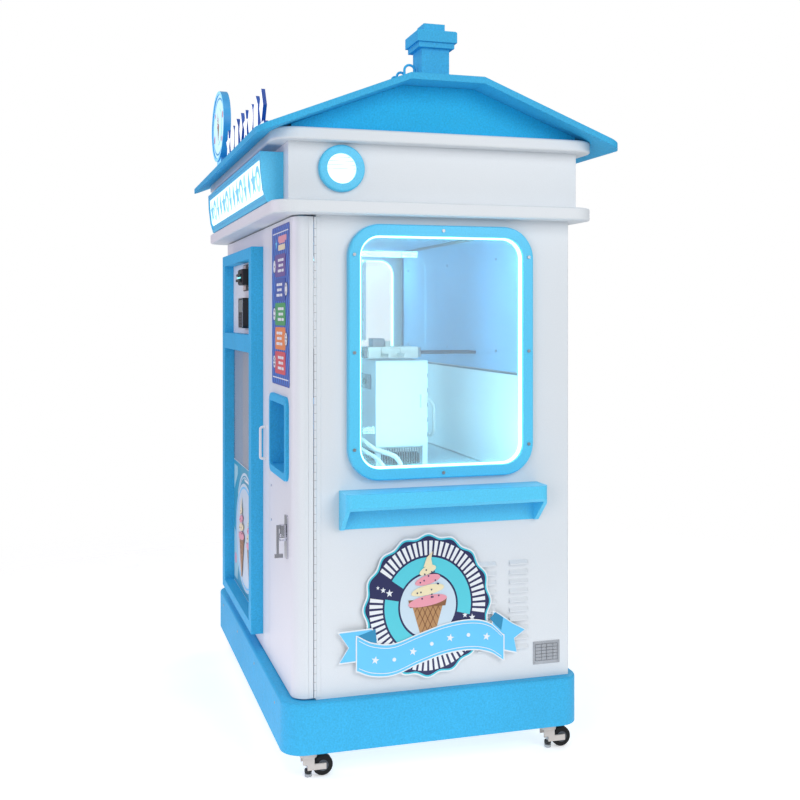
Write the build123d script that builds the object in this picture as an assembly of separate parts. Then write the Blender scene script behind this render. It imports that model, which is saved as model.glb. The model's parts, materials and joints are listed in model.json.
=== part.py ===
from build123d import *
import os
import math

os.makedirs("parts", exist_ok=True)

# ---------------------------------------------------------------- driving sizes (mm)
CAB_X, CAB_Y = 728.0, 453.0            # half width and half depth of the cabinet
CAB_Z0, CAB_Z1 = 245.0, 1720.0         # cabinet walls, bottom and top
SHEET = 2.0                            # wall sheet
CORNER_R = 45.0                        # vertical corner of the corner door
PLINTH_X, PLINTH_Y, PLINTH_R = 762.0, 487.5, 70.0
PLINTH_Z0 = 92.0
LEDGE_X, LEDGE_Y, LEDGE_R = 800.0, 525.5, 74.0
LEDGE_T = 40.0
FASCIA_X, FASCIA_Y = 748.0, 473.0
FASCIA_Z0, FASCIA_Z1 = 1760.0, 1938.0
UPPER_T = 37.0
ROOF_X, ROOF_Y = 852.0, 585.0
ROOF_EAVE_Z, ROOF_RIDGE_Z, ROOF_FLAT = 1962.0, 2145.0, 118.0
ROOF_T = 19.0
WIN_Y0, WIN_Y1, WIN_Z0, WIN_Z1 = -287.0, 322.0, 906.0, 1695.0
WIN_W, WIN_R = 35.0, 100.0
SEAM_X = 315.0                         # seam between the main door and the corner door
HINGE_Y = -387.0                       # corner door hinge line on the right side
DOOR_Z0, DOOR_Z1 = 250.0, 1715.0
CAST_X, CAST_Y = 690.0, 400.0          # swivel axes of the levelling casters
WHEEL_R, WHEEL_W, TRAIL = 31.5, 26.0, 44.0
PAD_R = 18.0
MAIN_HX, MAIN_HY = -728.0, -453.0      # main door hinge line

COL = {}


def bx(x0, x1, y0, y1, z0, z1):
    """Box from its lowest and highest corners."""
    return Pos((x0 + x1) / 2, (y0 + y1) / 2, (z0 + z1) / 2) * Box(x1 - x0, y1 - y0, z1 - z0)


def cz(x, y, z0, z1, r):
    return Pos(x, y, (z0 + z1) / 2) * Cylinder(r, z1 - z0)


def cy(x, z, y0, y1, r):
    return Pos(x, (y0 + y1) / 2, z) * Rot(90, 0, 0) * Cylinder(r, y1 - y0)


def cx(y, z, x0, x1, r):
    return Pos((x0 + x1) / 2, y, z) * Rot(0, 90, 0) * Cylinder(r, x1 - x0)


def slab(hx, hy, r, z0, z1):
    """Rounded rectangle in plan, centred on the axis."""
    return Pos(0, 0, z0) * extrude(RectangleRounded(2 * hx, 2 * hy, r), z1 - z0)


def rx(y0, y1, z0, z1, r, x0, x1):
    """Rounded rectangle in the YZ plane, thick along X."""
    f = Plane(origin=(x0, (y0 + y1) / 2, (z0 + z1) / 2), x_dir=(0, 1, 0), z_dir=(1, 0, 0))
    return extrude(f * RectangleRounded(y1 - y0, z1 - z0, r), x1 - x0)


def ry(x0, x1, z0, z1, r, y0, y1):
    """Rounded rectangle in the XZ plane, thick along Y."""
    f = Plane(origin=((x0 + x1) / 2, y1, (z0 + z1) / 2), x_dir=(1, 0, 0), z_dir=(0, -1, 0))
    return extrude(f * RectangleRounded(x1 - x0, z1 - z0, r), y1 - y0)


def prism_x(pts, x0, x1):
    """Polygon of (y, z) points, thick along X."""
    w = Wire.make_polygon([Vector(x0, y, z) for y, z in pts], close=True)
    return extrude(Face(w), x1 - x0, dir=(1, 0, 0))


def prism_y(pts, y0, y1):
    """Polygon of (x, z) points, thick along Y."""
    w = Wire.make_polygon([Vector(x, y0, z) for x, z in pts], close=True)
    return extrude(Face(w), y1 - y0, dir=(0, 1, 0))


def mx(s):
    return mirror(s, about=Plane.YZ)


def node(name, *solids):
    """Writes one node; several arguments stay separate solids."""
    out = []
    for s in solids:
        out.extend(s.solids())
    shape = out[0] if len(out) == 1 else Compound(children=out)
    shape.label = name
    export_step(shape, f"parts/{name}.step")
    print(name, len(out))


# ---------------------------------------------------------------- plinth and frame
p = slab(PLINTH_X, PLINTH_Y, PLINTH_R, PLINTH_Z0, CAB_Z0)
p = fillet(p.edges().filter_by(lambda e: abs(e.center().Z - CAB_Z0) < 0.1), 9)
p -= slab(PLINTH_X - 3, PLINTH_Y - 3, PLINTH_R - 3, PLINTH_Z0 - 1, CAB_Z0 - 3)
node("plinth", p)
DECK_Z = 880.0
deck = bx(-724, 336, -285, 424, DECK_Z, DECK_Z + 3) + bx(330, 724, -285, 424, DECK_Z, DECK_Z + 3)
node("inner_frame",
     slab(PLINTH_X - 3.3, PLINTH_Y - 3.3, PLINTH_R - 3.3, PLINTH_Z0 + 1, PLINTH_Z0 + 4),
     bx(-639, 639, -364, 364, CAB_Z1 + 4, CAB_Z1 + 6), deck,
     bx(-724, -700, -420, -396, CAB_Z0, CAB_Z1), bx(300, 324, -424, -400, CAB_Z0, CAB_Z1),
     bx(700, 724, -384, -360, CAB_Z0, CAB_Z1), bx(700, 724, 425, 449, CAB_Z0, CAB_Z1),
     bx(-724, -700, 425, 449, CAB_Z0, CAB_Z1))


# ---------------------------------------------------------------- side panels
def side_panel(y_front):
    s = bx(CAB_X - SHEET, CAB_X, y_front, CAB_Y, CAB_Z0, CAB_Z1)
    s -= rx(WIN_Y0 + 33, WIN_Y1 - 33, WIN_Z0 + 33, WIN_Z1 - 33, WIN_R - 33, CAB_X - 10, CAB_X + 10)
    return s


def louvre_slots():
    """Rows of vent slots, four columns, low on the wall."""
    cut = []
    for yc in (-48, 61, 170, 279):
        for k in range(10):
            z = 350 + k * 30
            cut.append(bx(CAB_X - 10, CAB_X + 10, yc - 28, yc + 28, z - 3, z + 5))
    return cut


def louvre_hoods():
    """Pressed hood over each vent slot, open at its lower edge."""
    out = []
    for yc in (-48, 61, 170, 279):
        for k in range(10):
            z = 350 + k * 30
            c = Plane.XZ * make_face(Polyline((CAB_X, z + 9), (CAB_X + 9, z - 2), (CAB_X + 9, z - 6), (CAB_X, z - 6), close=True))
            h = Pos(0, yc + 31, 0) * extrude(c, 62)
            out.append(h)
    return out


right = side_panel(HINGE_Y + 3)
slots = louvre_slots()
right -= slots
hoods = louvre_hoods()
for h in hoods:
    right += h
node("right_side_panel", right)
left = side_panel(-418)
left -= slots
for h in hoods:
    left += h
node("left_side_panel", mx(left))

rear = bx(-CAB_X + 0.5, CAB_X - 0.5, CAB_Y - 0.0, CAB_Y + SHEET, CAB_Z0, CAB_Z1)
rear -= [bx(-420 + i * 70, -420 + i * 70 + 46, CAB_Y - 5, CAB_Y + 5, 300 + j * 24, 308 + j * 24)
         for i in range(12) for j in range(12)]
rear -= ry(-660, -580, 290, 350, 8, CAB_Y - 5, CAB_Y + 5)
node("rear_panel", rear)
inlet = ry(-670, -570, 280, 360, 10, CAB_Y + SHEET, CAB_Y + SHEET + 4) + ry(-657, -583, 293, 347, 6, CAB_Y - 40, CAB_Y + SHEET)
inlet -= ry(-640, -600, 306, 334, 5, CAB_Y - 20, CAB_Y + 20)
node("power_inlet", inlet)

# ---------------------------------------------------------------- ledges, fascia, roof
low = slab(LEDGE_X, LEDGE_Y, LEDGE_R, CAB_Z1, CAB_Z1 + LEDGE_T)
low = fillet(low.edges().filter_by(lambda e: abs(e.center().Z - CAB_Z1) < 0.1 or abs(e.center().Z - CAB_Z1 - LEDGE_T) < 0.1), 7)
low -= bx(-640, 640, -365, 365, CAB_Z1 + 4, CAB_Z1 + LEDGE_T + 1)
low -= bx(-620, 620, -345, 345, CAB_Z1 - 1, CAB_Z1 + 10)
Z2 = FASCIA_Z1 + UPPER_T
up = slab(LEDGE_X, LEDGE_Y, LEDGE_R, FASCIA_Z1, Z2)
up = fillet(up.edges().filter_by(lambda e: abs(e.center().Z - FASCIA_Z1) < 0.1 or abs(e.center().Z - Z2) < 0.1), 7)
up -= bx(-660, 660, -385, 385, FASCIA_Z1 - 1, Z2 + 1)
node("ledges", low, up)
LAMP_Y, LAMP_Z = -310.0, 1860.0
fx = bx(FASCIA_X - 3, FASCIA_X, -FASCIA_Y, FASCIA_Y, FASCIA_Z0, FASCIA_Z1)
fxl = mx(fx)
fx -= cx(LAMP_Y, LAMP_Z, FASCIA_X - 10, FASCIA_X + 10, 50)
node("fascia_walls", fx, fxl,
     bx(-FASCIA_X + 3, FASCIA_X - 3, -FASCIA_Y, -FASCIA_Y + 3, FASCIA_Z0, FASCIA_Z1),
     bx(-FASCIA_X + 3, FASCIA_X - 3, FASCIA_Y - 3, FASCIA_Y, FASCIA_Z0, FASCIA_Z1))
# porthole lamp: flanged ring with a lens held in it
ring = cx(LAMP_Y, LAMP_Z, FASCIA_X, FASCIA_X + 16, 72)
ring = fillet(ring.edges().filter_by(GeomType.CIRCLE).filter_by(lambda e: e.center().X > FASCIA_X + 10), 7)
ring += cx(LAMP_Y, LAMP_Z, FASCIA_X - 25, FASCIA_X + 1, 49.6)
ring -= cx(LAMP_Y, LAMP_Z, FASCIA_X - 30, FASCIA_X + 20, 46.5)
node("lamp_ring", ring)
lens = cx(LAMP_Y, LAMP_Z, FASCIA_X - 2, FASCIA_X + 4, 46.3)

sl = (ROOF_RIDGE_Z - ROOF_EAVE_Z) / (ROOF_Y - ROOF_FLAT)
th = ROOF_T * math.hypot(1, sl)
trim = slab(ROOF_X, ROOF_Y, 40, 1900, 2200)
notch = slab(LEDGE_X + 1, LEDGE_Y + 1, LEDGE_R, 1900, Z2 + 0.3)
front = prism_x([(-ROOF_Y, ROOF_EAVE_Z), (-ROOF_FLAT, ROOF_RIDGE_Z), (-ROOF_FLAT, ROOF_RIDGE_Z - th), (-ROOF_Y, ROOF_EAVE_Z - th)], -ROOF_X, ROOF_X)
front = (front & trim) - notch
roof = (front, mirror(front, about=Plane.XZ), bx(-ROOF_X, ROOF_X, -ROOF_FLAT + 0.05, ROOF_FLAT - 0.05, ROOF_RIDGE_Z - th, ROOF_RIDGE_Z))
gz = lambda y: ROOF_EAVE_Z - th + (ROOF_Y - abs(y)) * sl - 0.3
gy = LEDGE_Y - 60
gpts = [(-gy, Z2), (gy, Z2), (gy, gz(gy)), (ROOF_FLAT, gz(ROOF_FLAT)), (-ROOF_FLAT, gz(ROOF_FLAT)), (-gy, gz(-gy))]
node("gable_walls", prism_x(gpts, 754, 757), prism_x(gpts, -757, -754))
CHX, CHY = 650.0, 10.0
shaft = bx(CHX - 46, CHX + 46, CHY - 46, CHY + 46, ROOF_RIDGE_Z, 2260)
cap = bx(CHX - 59, CHX + 59, CHY - 59, CHY + 59, 2260, 2277)
cap += bx(CHX - 66, CHX + 66, CHY - 66, CHY + 66, 2277, 2314)
cap = chamfer(cap.edges().filter_by(lambda e: abs(e.center().Z - 2314) < 0.1), 4)
cap += bx(CHX - 35, CHX + 35, CHY - 35, CHY + 35, 2314, 2341)
node("chimney", shaft + cap)


def hoop(x, y, z, r, h, t):
    """Upright round-bar hoop on two legs, its plane across the ridge."""
    path = Wire([Edge.make_line((x, y - r, z), (x, y - r, z + h - r)),
                 Edge.make_three_point_arc((x, y - r, z + h - r), (x, y, z + h), (x, y + r, z + h - r)),
                 Edge.make_line((x, y + r, z + h - r), (x, y + r, z))])
    return sweep(Plane(origin=(x, y - r, z), z_dir=(0, 0, 1)) * Circle(t), path=path)


node("roof_panels", *roof, hoop(650, -62, ROOF_RIDGE_Z, 17, 68, 4), hoop(600, -76, ROOF_RIDGE_Z, 13, 54, 4),
     hoop(556, -82, ROOF_RIDGE_Z, 11, 48, 4))

# ---------------------------------------------------------------- raised roof shapes and medallion
SHY0, SHY1, SHZ = -538.0, -526.0, 2002.0


def poly_star(x, z, r1, r2, n):
    return [(x + (r1 if i % 2 == 0 else r2) * math.sin(math.pi * i / n),
             z + (r1 if i % 2 == 0 else r2) * math.cos(math.pi * i / n)) for i in range(2 * n)]


def poly_round(x, z, r, n):
    return [(x + r * math.sin(2 * math.pi * i / n), z + r * math.cos(2 * math.pi * i / n)) for i in range(n)]


shapes = []
sx0, sx1, ns = -140.0, 700.0, 8
for i in range(ns):
    xc = sx0 + (sx1 - sx0) * (i + 0.5) / ns
    k = i % 4
    zc = SHZ + (46.5, 49, 51, 53)[k]
    if k == 0:
        pts = poly_star(xc, zc - 2, 55, 27, 5)
    elif k == 1:
        pts = poly_round(xc, zc, 50, 24)
    elif k == 2:
        pts = [(xc - 42, zc - 52), (xc + 42, zc - 52), (xc + 42, zc + 20), (xc, zc + 55), (xc - 42, zc + 20)]
    else:
        pts = [(xc, zc - 55), (xc + 36, zc), (xc, zc + 55), (xc - 36, zc)]
    shapes.append(prism_y(pts, SHY0, SHY1))
rz = ROOF_EAVE_Z + (ROOF_Y - 532) * sl
rail = bx(sx0, sx1, -539, -525, rz + 1, SHZ + 2)
shapes = [s_ - rail for s_ in shapes]
MEDX, MEDZ, MEDA, MEDB = -385.0, 2163.0, 185.0, 137.0


def oval(a, b, y0, y1):
    """Flat oval in the XZ plane, thick along Y."""
    return extrude(Plane(origin=(MEDX, y1, MEDZ), x_dir=(1, 0, 0), z_dir=(0, -1, 0)) * Ellipse(a, b), y1 - y0)


med = oval(MEDA, MEDB, -540, -512)
med -= oval(MEDA - 12, MEDB - 12, -541, -534)
med += bx(MEDX - 60, MEDX + 60, -534, -518, 1975, 2060)
med += oval(96, 70, -536, -533)
med = med - prism_x([(-560, 1900), (-480, 1900), (-480, ROOF_EAVE_Z + 105 * sl), (-560, ROOF_EAVE_Z + 25 * sl)], MEDX - 200, MEDX + 200)
rail -= Pos(0, 0, 0.2) * front
med -= Pos(0, 0, 0.2) * front
node("roof_ornaments", *rail.solids(), *shapes, *med.solids())

# ---------------------------------------------------------------- lit sign box between the ledges
sp = [(-473, 1761), (-525, 1761), (-536, 1800), (-543, 1860), (-545, 1915), (-473, 1915)]
box = prism_x(sp, -650, 670)
box -= prism_x([(-476, 1771), (-560, 1771), (-560, 1905), (-476, 1905)], -640, 660)
box += bx(-641, 661, -478, -473.2, 1765, 1910)
node("sign_box", box)
fp = [(-521, 1771.3), (-532, 1800), (-539, 1860), (-541, 1904.7), (-537, 1904.7), (-535, 1860), (-528, 1801), (-517, 1771.3)]
node("light_lenses", prism_x(fp, -639.7, 659.7), lens)


# ---------------------------------------------------------------- side windows
def window(x):
    fr = rx(WIN_Y0, WIN_Y1, WIN_Z0, WIN_Z1, WIN_R, x, x + 26)
    fr = fillet(fr.edges().filter_by(lambda e: e.center().X > x + 25.9), 6)
    fr -= rx(WIN_Y0 + WIN_W, WIN_Y1 - WIN_W, WIN_Z0 + WIN_W, WIN_Z1 - WIN_W, WIN_R - WIN_W, x - 1, x + 30)
    led = rx(WIN_Y0 + WIN_W + 0.2, WIN_Y1 - WIN_W - 0.2, WIN_Z0 + WIN_W + 0.2, WIN_Z1 - WIN_W - 0.2, WIN_R - WIN_W, x + 6, x + 14)
    led -= rx(WIN_Y0 + WIN_W + 6, WIN_Y1 - WIN_W - 6, WIN_Z0 + WIN_W + 6, WIN_Z1 - WIN_W - 6, WIN_R - WIN_W - 6, x, x + 30)
    pane = rx(WIN_Y0 + WIN_W + 0.2, WIN_Y1 - WIN_W - 0.2, WIN_Z0 + WIN_W + 0.2, WIN_Z1 - WIN_W - 0.2, WIN_R - WIN_W, x - 1, x + 5)
    return fr, led, pane


fr, led, pane = window(CAB_X)
scr = []
for y, z in ((17, 1678), (17, 923), (-270, 1600), (-270, 1300), (-270, 1003), (305, 1600), (305, 1300), (305, 1003)):
    scr.append(cx(y, z, CAB_X + 26, CAB_X + 29, 5) - bx(CAB_X + 27.5, CAB_X + 30, y - 4, y + 4, z - 0.7, z + 0.7))
node("window_frames", fr, mx(fr))
node("window_lights", led, mx(led))
node("window_panes", pane, mx(pane))
node("window_screws", *scr, *[mx(s) for s in scr])

# ---------------------------------------------------------------- shelf below the window
SY0, SY1 = -312.0, 344.0
cheek = [(CAB_X, 758), (CAB_X + 14, 758), (CAB_X + 100, 838), (CAB_X + 100, 878), (CAB_X, 878)]
sh = Pos(0, 0, 0) * prism_y(cheek, SY0, SY1)
sh -= prism_y([(CAB_X + 4, 750), (CAB_X + 8, 750), (CAB_X + 88, 834), (CAB_X + 88, 866), (CAB_X + 4, 866)], SY0 + 14, SY1 - 14)
sh -= prism_y([(CAB_X + 4, 750), (CAB_X + 18, 750), (CAB_X + 88, 822), (CAB_X + 88, 834.5), (CAB_X + 4, 834.5)], SY0 + 14, SY1 - 14)
sh &= Pos(CAB_X + 20, (SY0 + SY1) / 2, 700) * extrude(RectangleRounded(160, SY1 - SY0, 24), 300)
node("side_shelf", sh)

# ---------------------------------------------------------------- badge, name plate
pts = []
for i in range(128):
    a = 2 * math.pi * i / 128
    r = 208 + 5 * math.cos(16 * a)
    pts.append((-29 + r * math.sin(a), 508 + 1.067 * r * math.cos(a)))
badge = prism_x(pts, CAB_X + 9.5, CAB_X + 11.5)
for y, z in ((-150, 600), (-150, 405), (115, 628), (115, 388)):
    badge += cx(y, z, CAB_X, CAB_X + 10, 6)
node("badge_plate", badge)
node("name_plate", bx(CAB_X, CAB_X + 1.5, 331, 424, 287, 360), *[cx(y, z, CAB_X + 1.5, CAB_X + 3, 2.6) for y in (336, 419) for z in (292, 355)])

# ---------------------------------------------------------------- corner door
HX = 731.0
shell = slab(CAB_X, CAB_Y, CORNER_R, DOOR_Z0, DOOR_Z1) - slab(CAB_X - SHEET, CAB_Y - SHEET, CORNER_R - SHEET, DOOR_Z0 - 1, DOOR_Z1 + 1)
ret = slab(CAB_X - 1, CAB_Y - 1, CORNER_R - 1, DOOR_Z0, DOOR_Z1) - slab(CAB_X - 25, CAB_Y - 25, CORNER_R - 25, DOOR_Z0 - 1, DOOR_Z1 + 1)
ret -= bx(-900, 900, -600, 600, DOOR_Z0 + 2, DOOR_Z1 - 2)
region = bx(SEAM_X + 3, 740, -460, -400, DOOR_Z0 - 2, DOOR_Z1 + 2) + bx(690, 740, -460, HINGE_Y - 4, DOOR_Z0 - 2, DOOR_Z1 + 2)
cd = (shell + ret) & region
cd += bx(SEAM_X + 3, SEAM_X + 5, -452, -428, DOOR_Z0, DOOR_Z1) + bx(703, 727, HINGE_Y - 6, HINGE_Y - 4, DOOR_Z0, DOOR_Z1)
PX0, PX1, PZ0, PZ1 = 357.0, 656.0, 897.0, 1159.0
cd -= bx(PX0 + 22.5, PX1 - 22.5, -460, -440, PZ0 + 22.5, PZ1 - 22.5)
LX, LZ0, LZ1, SPZ = 623.0, 658.0, 792.0, 725.0
cd -= cy(LX, SPZ, -460, -440, 8.3)
cd += bx(CAB_X - 0.5, CAB_X + 1.5, HINGE_Y - 20, HINGE_Y - 5, DOOR_Z0 + 2, DOOR_Z1 - 2)
node("corner_door", cd)
hin = bx(CAB_X, CAB_X + 1.5, HINGE_Y + 3, HINGE_Y + 18, DOOR_Z0 + 2, DOOR_Z1 - 2) + cz(HX, HINGE_Y, DOOR_Z0 + 2, DOOR_Z1 - 2, 3.6)
hin += bx(CAB_X, CAB_X + 1.5, HINGE_Y + 0, HINGE_Y + 5, DOOR_Z0 + 2, DOOR_Z1 - 2)
node("instruction_strip", ry(367, 677, 1188, 1704, 14, -454.2, -453))
pf = ry(PX0, PX1, PZ0, PZ1, 34, -464, -453)
pf = fillet(pf.edges().filter_by(lambda e: e.center().Y < -463.9), 4)
pf -= ry(PX0 + 25, PX1 - 25, PZ0 + 25, PZ1 - 25, 12, -470, -450)
PYB = -300.0
pk = bx(PX0 + 23, PX1 - 23, -455, PYB, PZ0 + 23, PZ1 - 23) - bx(PX0 + 25, PX1 - 25, -480, PYB - 2, PZ0 + 25, PZ1 - 25)
pk -= bx(PX0 + 36, PX1 - 36, -310, PYB + 1, PZ0 + 36, PZ1 - 36)
gd = [bx(PX0 + 23, PX0 + 29, PYB - 0.5, PYB + 10, PZ0 + 28, 1368), bx(PX1 - 29, PX1 - 23, PYB - 0.5, PYB + 10, PZ0 + 28, 1368)]
pk = pk + gd[0] + gd[1] + pf
node("pickup_recess", *pk.solids())
node("pickup_hatch", bx(PX0 + 30, PX1 - 30, PYB + 3, PYB + 6, PZ0 + 29, PZ1 - 29))
lp = ry(LX - 23, LX + 23, LZ0, LZ1, 9, -457, -453)
lp -= cy(LX, SPZ, -460, -450, 8.3)
sp_ = cy(LX, SPZ, -476, -438, 8) + cy(LX, SPZ, -476, -459, 13) + bx(LX - 8, LX + 52, -442, -438, SPZ - 9, SPZ + 9)
sp_ += bx(LX - 12, LX - 4.5, -474, -459, SPZ, SPZ + 38) + bx(LX + 4.5, LX + 12, -474, -459, SPZ, SPZ + 38)
sp_ -= cx(-467, SPZ + 32, LX - 20, LX + 20, 2.55)
node("latch_spindle", sp_)
lv = bx(LX - 4, LX + 4, -473, -461, SPZ + 14, SPZ + 38)
lv += bx(LX - 4, LX + 4, -486, -479, SPZ - 56, SPZ + 38) + bx(LX - 4, LX + 4, -486, -464, SPZ + 26, SPZ + 38)
lv += bx(LX - 4, LX + 4, -492, -466, SPZ - 64, SPZ - 52)
lv += cx(-467, SPZ + 32, LX - 11.5, LX + 11.5, 2.5)
node("latch_lever", lv)
node("latch_plate", lp, *[cy(x, z, -455, -453, 4) for x, z in ((352, 845), (640, 790), (352, 730))])

# ---------------------------------------------------------------- main front door
MX0, MX1 = -726.5, 315.0
PVX, PVY = -716.0, -441.0
md = bx(MX0, MX1, -453, -451, DOOR_Z0, DOOR_Z1)
md += bx(MX0, MX0 + 2, -452, -428, DOOR_Z0, DOOR_Z1) + bx(MX1 - 2, MX1, -452, -428, DOOR_Z0, DOOR_Z1)
md += bx(MX0, MX1, -452, -428, DOOR_Z0, DOOR_Z0 + 2) + bx(MX0, MX1, -452, -428, DOOR_Z1 - 2, DOOR_Z1)
md += bx(MX0 + 1, MX0 + 24, -452, -429, DOOR_Z0 + 1, DOOR_Z0 + 14) + bx(MX0 + 1, MX0 + 24, -452, -429, DOOR_Z1 - 14, DOOR_Z1 - 1)
md -= [cz(PVX, PVY, 200, DOOR_Z0 + 12, 5.05), cz(PVX, PVY, DOOR_Z1 - 12, 1800, 5.05)]
node("main_door", md)
node("hinge_hardware", hin, cz(PVX, PVY, CAB_Z0, DOOR_Z0 + 11, 5.0), cz(PVX, PVY, DOOR_Z1 - 11, CAB_Z1, 5.0))
FX0, FX1, FZ0, FZ1, FY = -565.0, 180.0, 300.0, 1655.0, -496.0
fr = bx(FX0, FX1, FY, -453, FZ0, FZ1)
fr = fillet(fr.edges().filter_by(lambda e: e.center().Y < FY + 0.1), 3)
fr -= bx(FX0 + 68, FX1 - 50, FY - 2, -450, 1344, 1613)
fr -= bx(FX0 + 68, FX1 - 50, FY - 2, -450, 336, 1282)
node("door_frame", fr)
node("payment_panel", bx(FX0 + 68.2, FX1 - 50.2, -460, -453, 1344.2, 1612.8),
     bx(FX0 + 68.2, FX1 - 50.2, -455, -453, 832, 1281.8))
bill = bx(-215, -65, -463, -460, 1507, 1606)
sn = bx(-190, -90, -488, -463, 1528, 1588) - bx(-178, -102, -490, -470, 1554, 1560)
bill += chamfer(sn.edges().filter_by(lambda e: e.center().Y < -487.9 and e.length > 50), 5)
node("bill_acceptor", bill)
ct = ry(-190, -90, 1366, 1480, 12, -484, -460)
ct = fillet(ct.edges().filter_by(lambda e: e.center().Y < -483.9), 4)
node("card_terminal", ct)
node("door_glass", bx(FX0 + 68.2, FX1 - 50.2, -459, -455, 832, 1281.8))
node("poster_panel", bx(FX0 + 68.2, FX1 - 50.2, -458, -453, 336.2, 831.5))
hp = Wire([Edge.make_line((236, -453.05, 920), (236, -464, 920)),
           Edge.make_three_point_arc((236, -464, 920), (236, -469.66, 922.34), (236, -472, 928)),
           Edge.make_line((236, -472, 928), (236, -472, 1021)),
           Edge.make_three_point_arc((236, -472, 1021), (236, -469.66, 1026.66), (236, -464, 1029)),
           Edge.make_line((236, -464, 1029), (236, -453.05, 1029))])
node("door_handle", sweep(Plane(origin=(236, -453.05, 920), z_dir=(0, -1, 0)) * Circle(4.5), path=hp))

# ---------------------------------------------------------------- levelling casters
pads = []
for nm, sx, sy in (("front_right", 1, -1), ("front_left", -1, -1), ("rear_right", 1, 1), ("rear_left", -1, 1)):
    X, Y = sx * CAST_X, sy * CAST_Y
    wy = Y + TRAIL
    ZW = WHEEL_R + 1.5
    yk = cz(X, Y, 62, PLINTH_Z0 - 1.5, 27)
    for s_ in (-1, 1):
        xa = X + s_ * (WHEEL_W / 2 + 2)
        plate = bx(min(xa, xa + s_ * 5), max(xa, xa + s_ * 5), Y - 5, wy + 9, ZW - 9, ZW + 9)
        plate += bx(min(xa, xa + s_ * 5), max(xa, xa + s_ * 5), Y - 20, Y + 16, ZW + 8, 78)
        yk += plate
    yk -= cz(X, Y, 0, 100, 8)
    yk += cx(wy, ZW, X - WHEEL_W / 2 - 5, X + WHEEL_W / 2 + 5, 4)
    yk = yk - [cx(wy, ZW, X - 13.5, X + 13.5, WHEEL_R + 2) - cx(wy, ZW, X - 14, X + 14, 4)]
    node("caster_yoke_" + nm, *yk.solids())
    wh = cx(wy, ZW, X - WHEEL_W / 2, X + WHEEL_W / 2, WHEEL_R)
    wh = fillet(wh.edges().filter_by(GeomType.CIRCLE), 4)
    wh -= cx(wy, ZW, X - 20, X + 20, 4.05)
    node("caster_wheel_" + nm, wh)
    pads.append(cz(X, Y, 0, 9, PAD_R - 7) + cz(X, Y, 8, PLINTH_Z0 + 1, 5))
node("levelling_pads", *pads)

# ---------------------------------------------------------------- dispensing unit on the deck
T = DECK_Z + 3
hs = bx(62, 298, -76, 114, 952, 1255) - bx(65, 300, -73, 111, 955, 1252)
hs += bx(62, 80, -76, -58, T, 953) + bx(62, 80, 96, 114, T, 953) + bx(280, 298, -76, -58, T, 953) + bx(280, 298, 96, 114, T, 953)
CYY, CYZ = 19.0, 1110.0
hs -= cx(CYY, CYZ, 55, 70, 32)
fins = [bx(90 + i * 16, 92 + i * 16, -70, 108, 930, 952.2) for i in range(12)]
for f_ in fins:
    hs += f_
node("freezer_housing", hs)
fd = bx(300, 304, -73, 111, 955, 1252) + bx(301, 304, -78, -72, 957, 1250)
fd += bx(304, 318, 84, 96, 1090, 1134)
node("freezer_door", fd)
fc = cx(CYY, CYZ, 70, 280, 58) - cx(CYY, CYZ, 74, 276, 50) - cx(CYY, CYZ, 60, 80, 9)
fc += bx(238, 262, CYY - 12, CYY + 12, 955, CYZ - 52) - cz(250, CYY, 940, CYZ - 40, 7)
motor = cx(CYY, CYZ, -110, 52, 46) + bx(-90, 30, CYY - 40, CYY + 40, T, CYZ - 30)
motor -= cx(CYY, CYZ, 30, 60, 9)
node("freezing_cylinder", *fc.solids(), *motor.solids())
bt = cx(CYY, CYZ, 34, 268, 6)
for k in range(6):
    w = Rot(0, 0, 0) * bx(84 + k * 30, 90 + k * 30, CYY - 44, CYY + 44, CYZ - 7, CYZ + 7)
    bt += Pos(0, CYY, CYZ) * Rot(k * 30, 0, 0) * Pos(0, -CYY, -CYZ) * w
bt += cx(CYY, CYZ, 55, 60, 26)
node("beater", bt)
hp_ = bx(-360, -130, -110, 150, 1040, 1240) - bx(-350, -140, -100, 140, 1050, 1250)
hp_ += bx(-352, -332, -102, -82, T, 1041) + bx(-352, -332, 122, 142, T, 1041) + bx(-158, -138, -102, -82, T, 1041) + bx(-158, -138, 122, 142, T, 1041)
hp_ -= cz(-200, 60, 1030, 1060, 6)
node("hopper", hp_)
hl = bx(-362, -128, -112, 150, 1241.5, 1249) + bx(-265, -225, -100, -80, 1249, 1266)
node("hopper_lid", hl)
r0, r1 = 30.0, 26.0
pth = Wire([Edge.make_line((-200, 60, 1049), (-200, 60, 1010)),
            Edge.make_three_point_arc((-200, 60, 1010), (-200, 60 + 40 * (1 - math.cos(math.pi / 4)), 1010 - 40 * math.sin(math.pi / 4)), (-200, 100, 970)),
            Edge.make_line((-200, 100, 970), (-200, 140, 970)),
            Edge.make_three_point_arc((-200, 140, 970), (-200 + 40 * (1 - math.cos(math.pi / 4)), 140 + 40 * math.sin(math.pi / 4), 970), (-160, 180, 970)),
            Edge.make_line((-160, 180, 970), (130, 180, 970)),
            Edge.make_three_point_arc((130, 180, 970), (130 + 40 * math.sin(math.pi / 4), 180, 970 + 40 * (1 - math.cos(math.pi / 4))), (170, 180, 1010)),
            Edge.make_line((170, 180, 1010), (170, 180, 1070)),
            Edge.make_three_point_arc((170, 180, 1070), (170, 180 - 40 * (1 - math.cos(math.pi / 4)), 1070 + 40 * math.sin(math.pi / 4)), (170, 140, 1110)),
            Edge.make_line((170, 140, 1110), (170, 114.2, 1110))])
node("mix_hose", sweep(Plane(origin=(-200, 60, 1049), z_dir=(0, 0, -1)) * Circle(5.8), path=pth))
CUX, CUY = 400.0, -190.0
cup = cz(CUX, CUY, 1330, 1600, 50) - cz(CUX, CUY, 1320, 1610, 47)
cup += bx(CUX - 7, CUX + 7, CUY - 64, CUY - 48, T, 1600)
node("cup_tube", cup)

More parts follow.
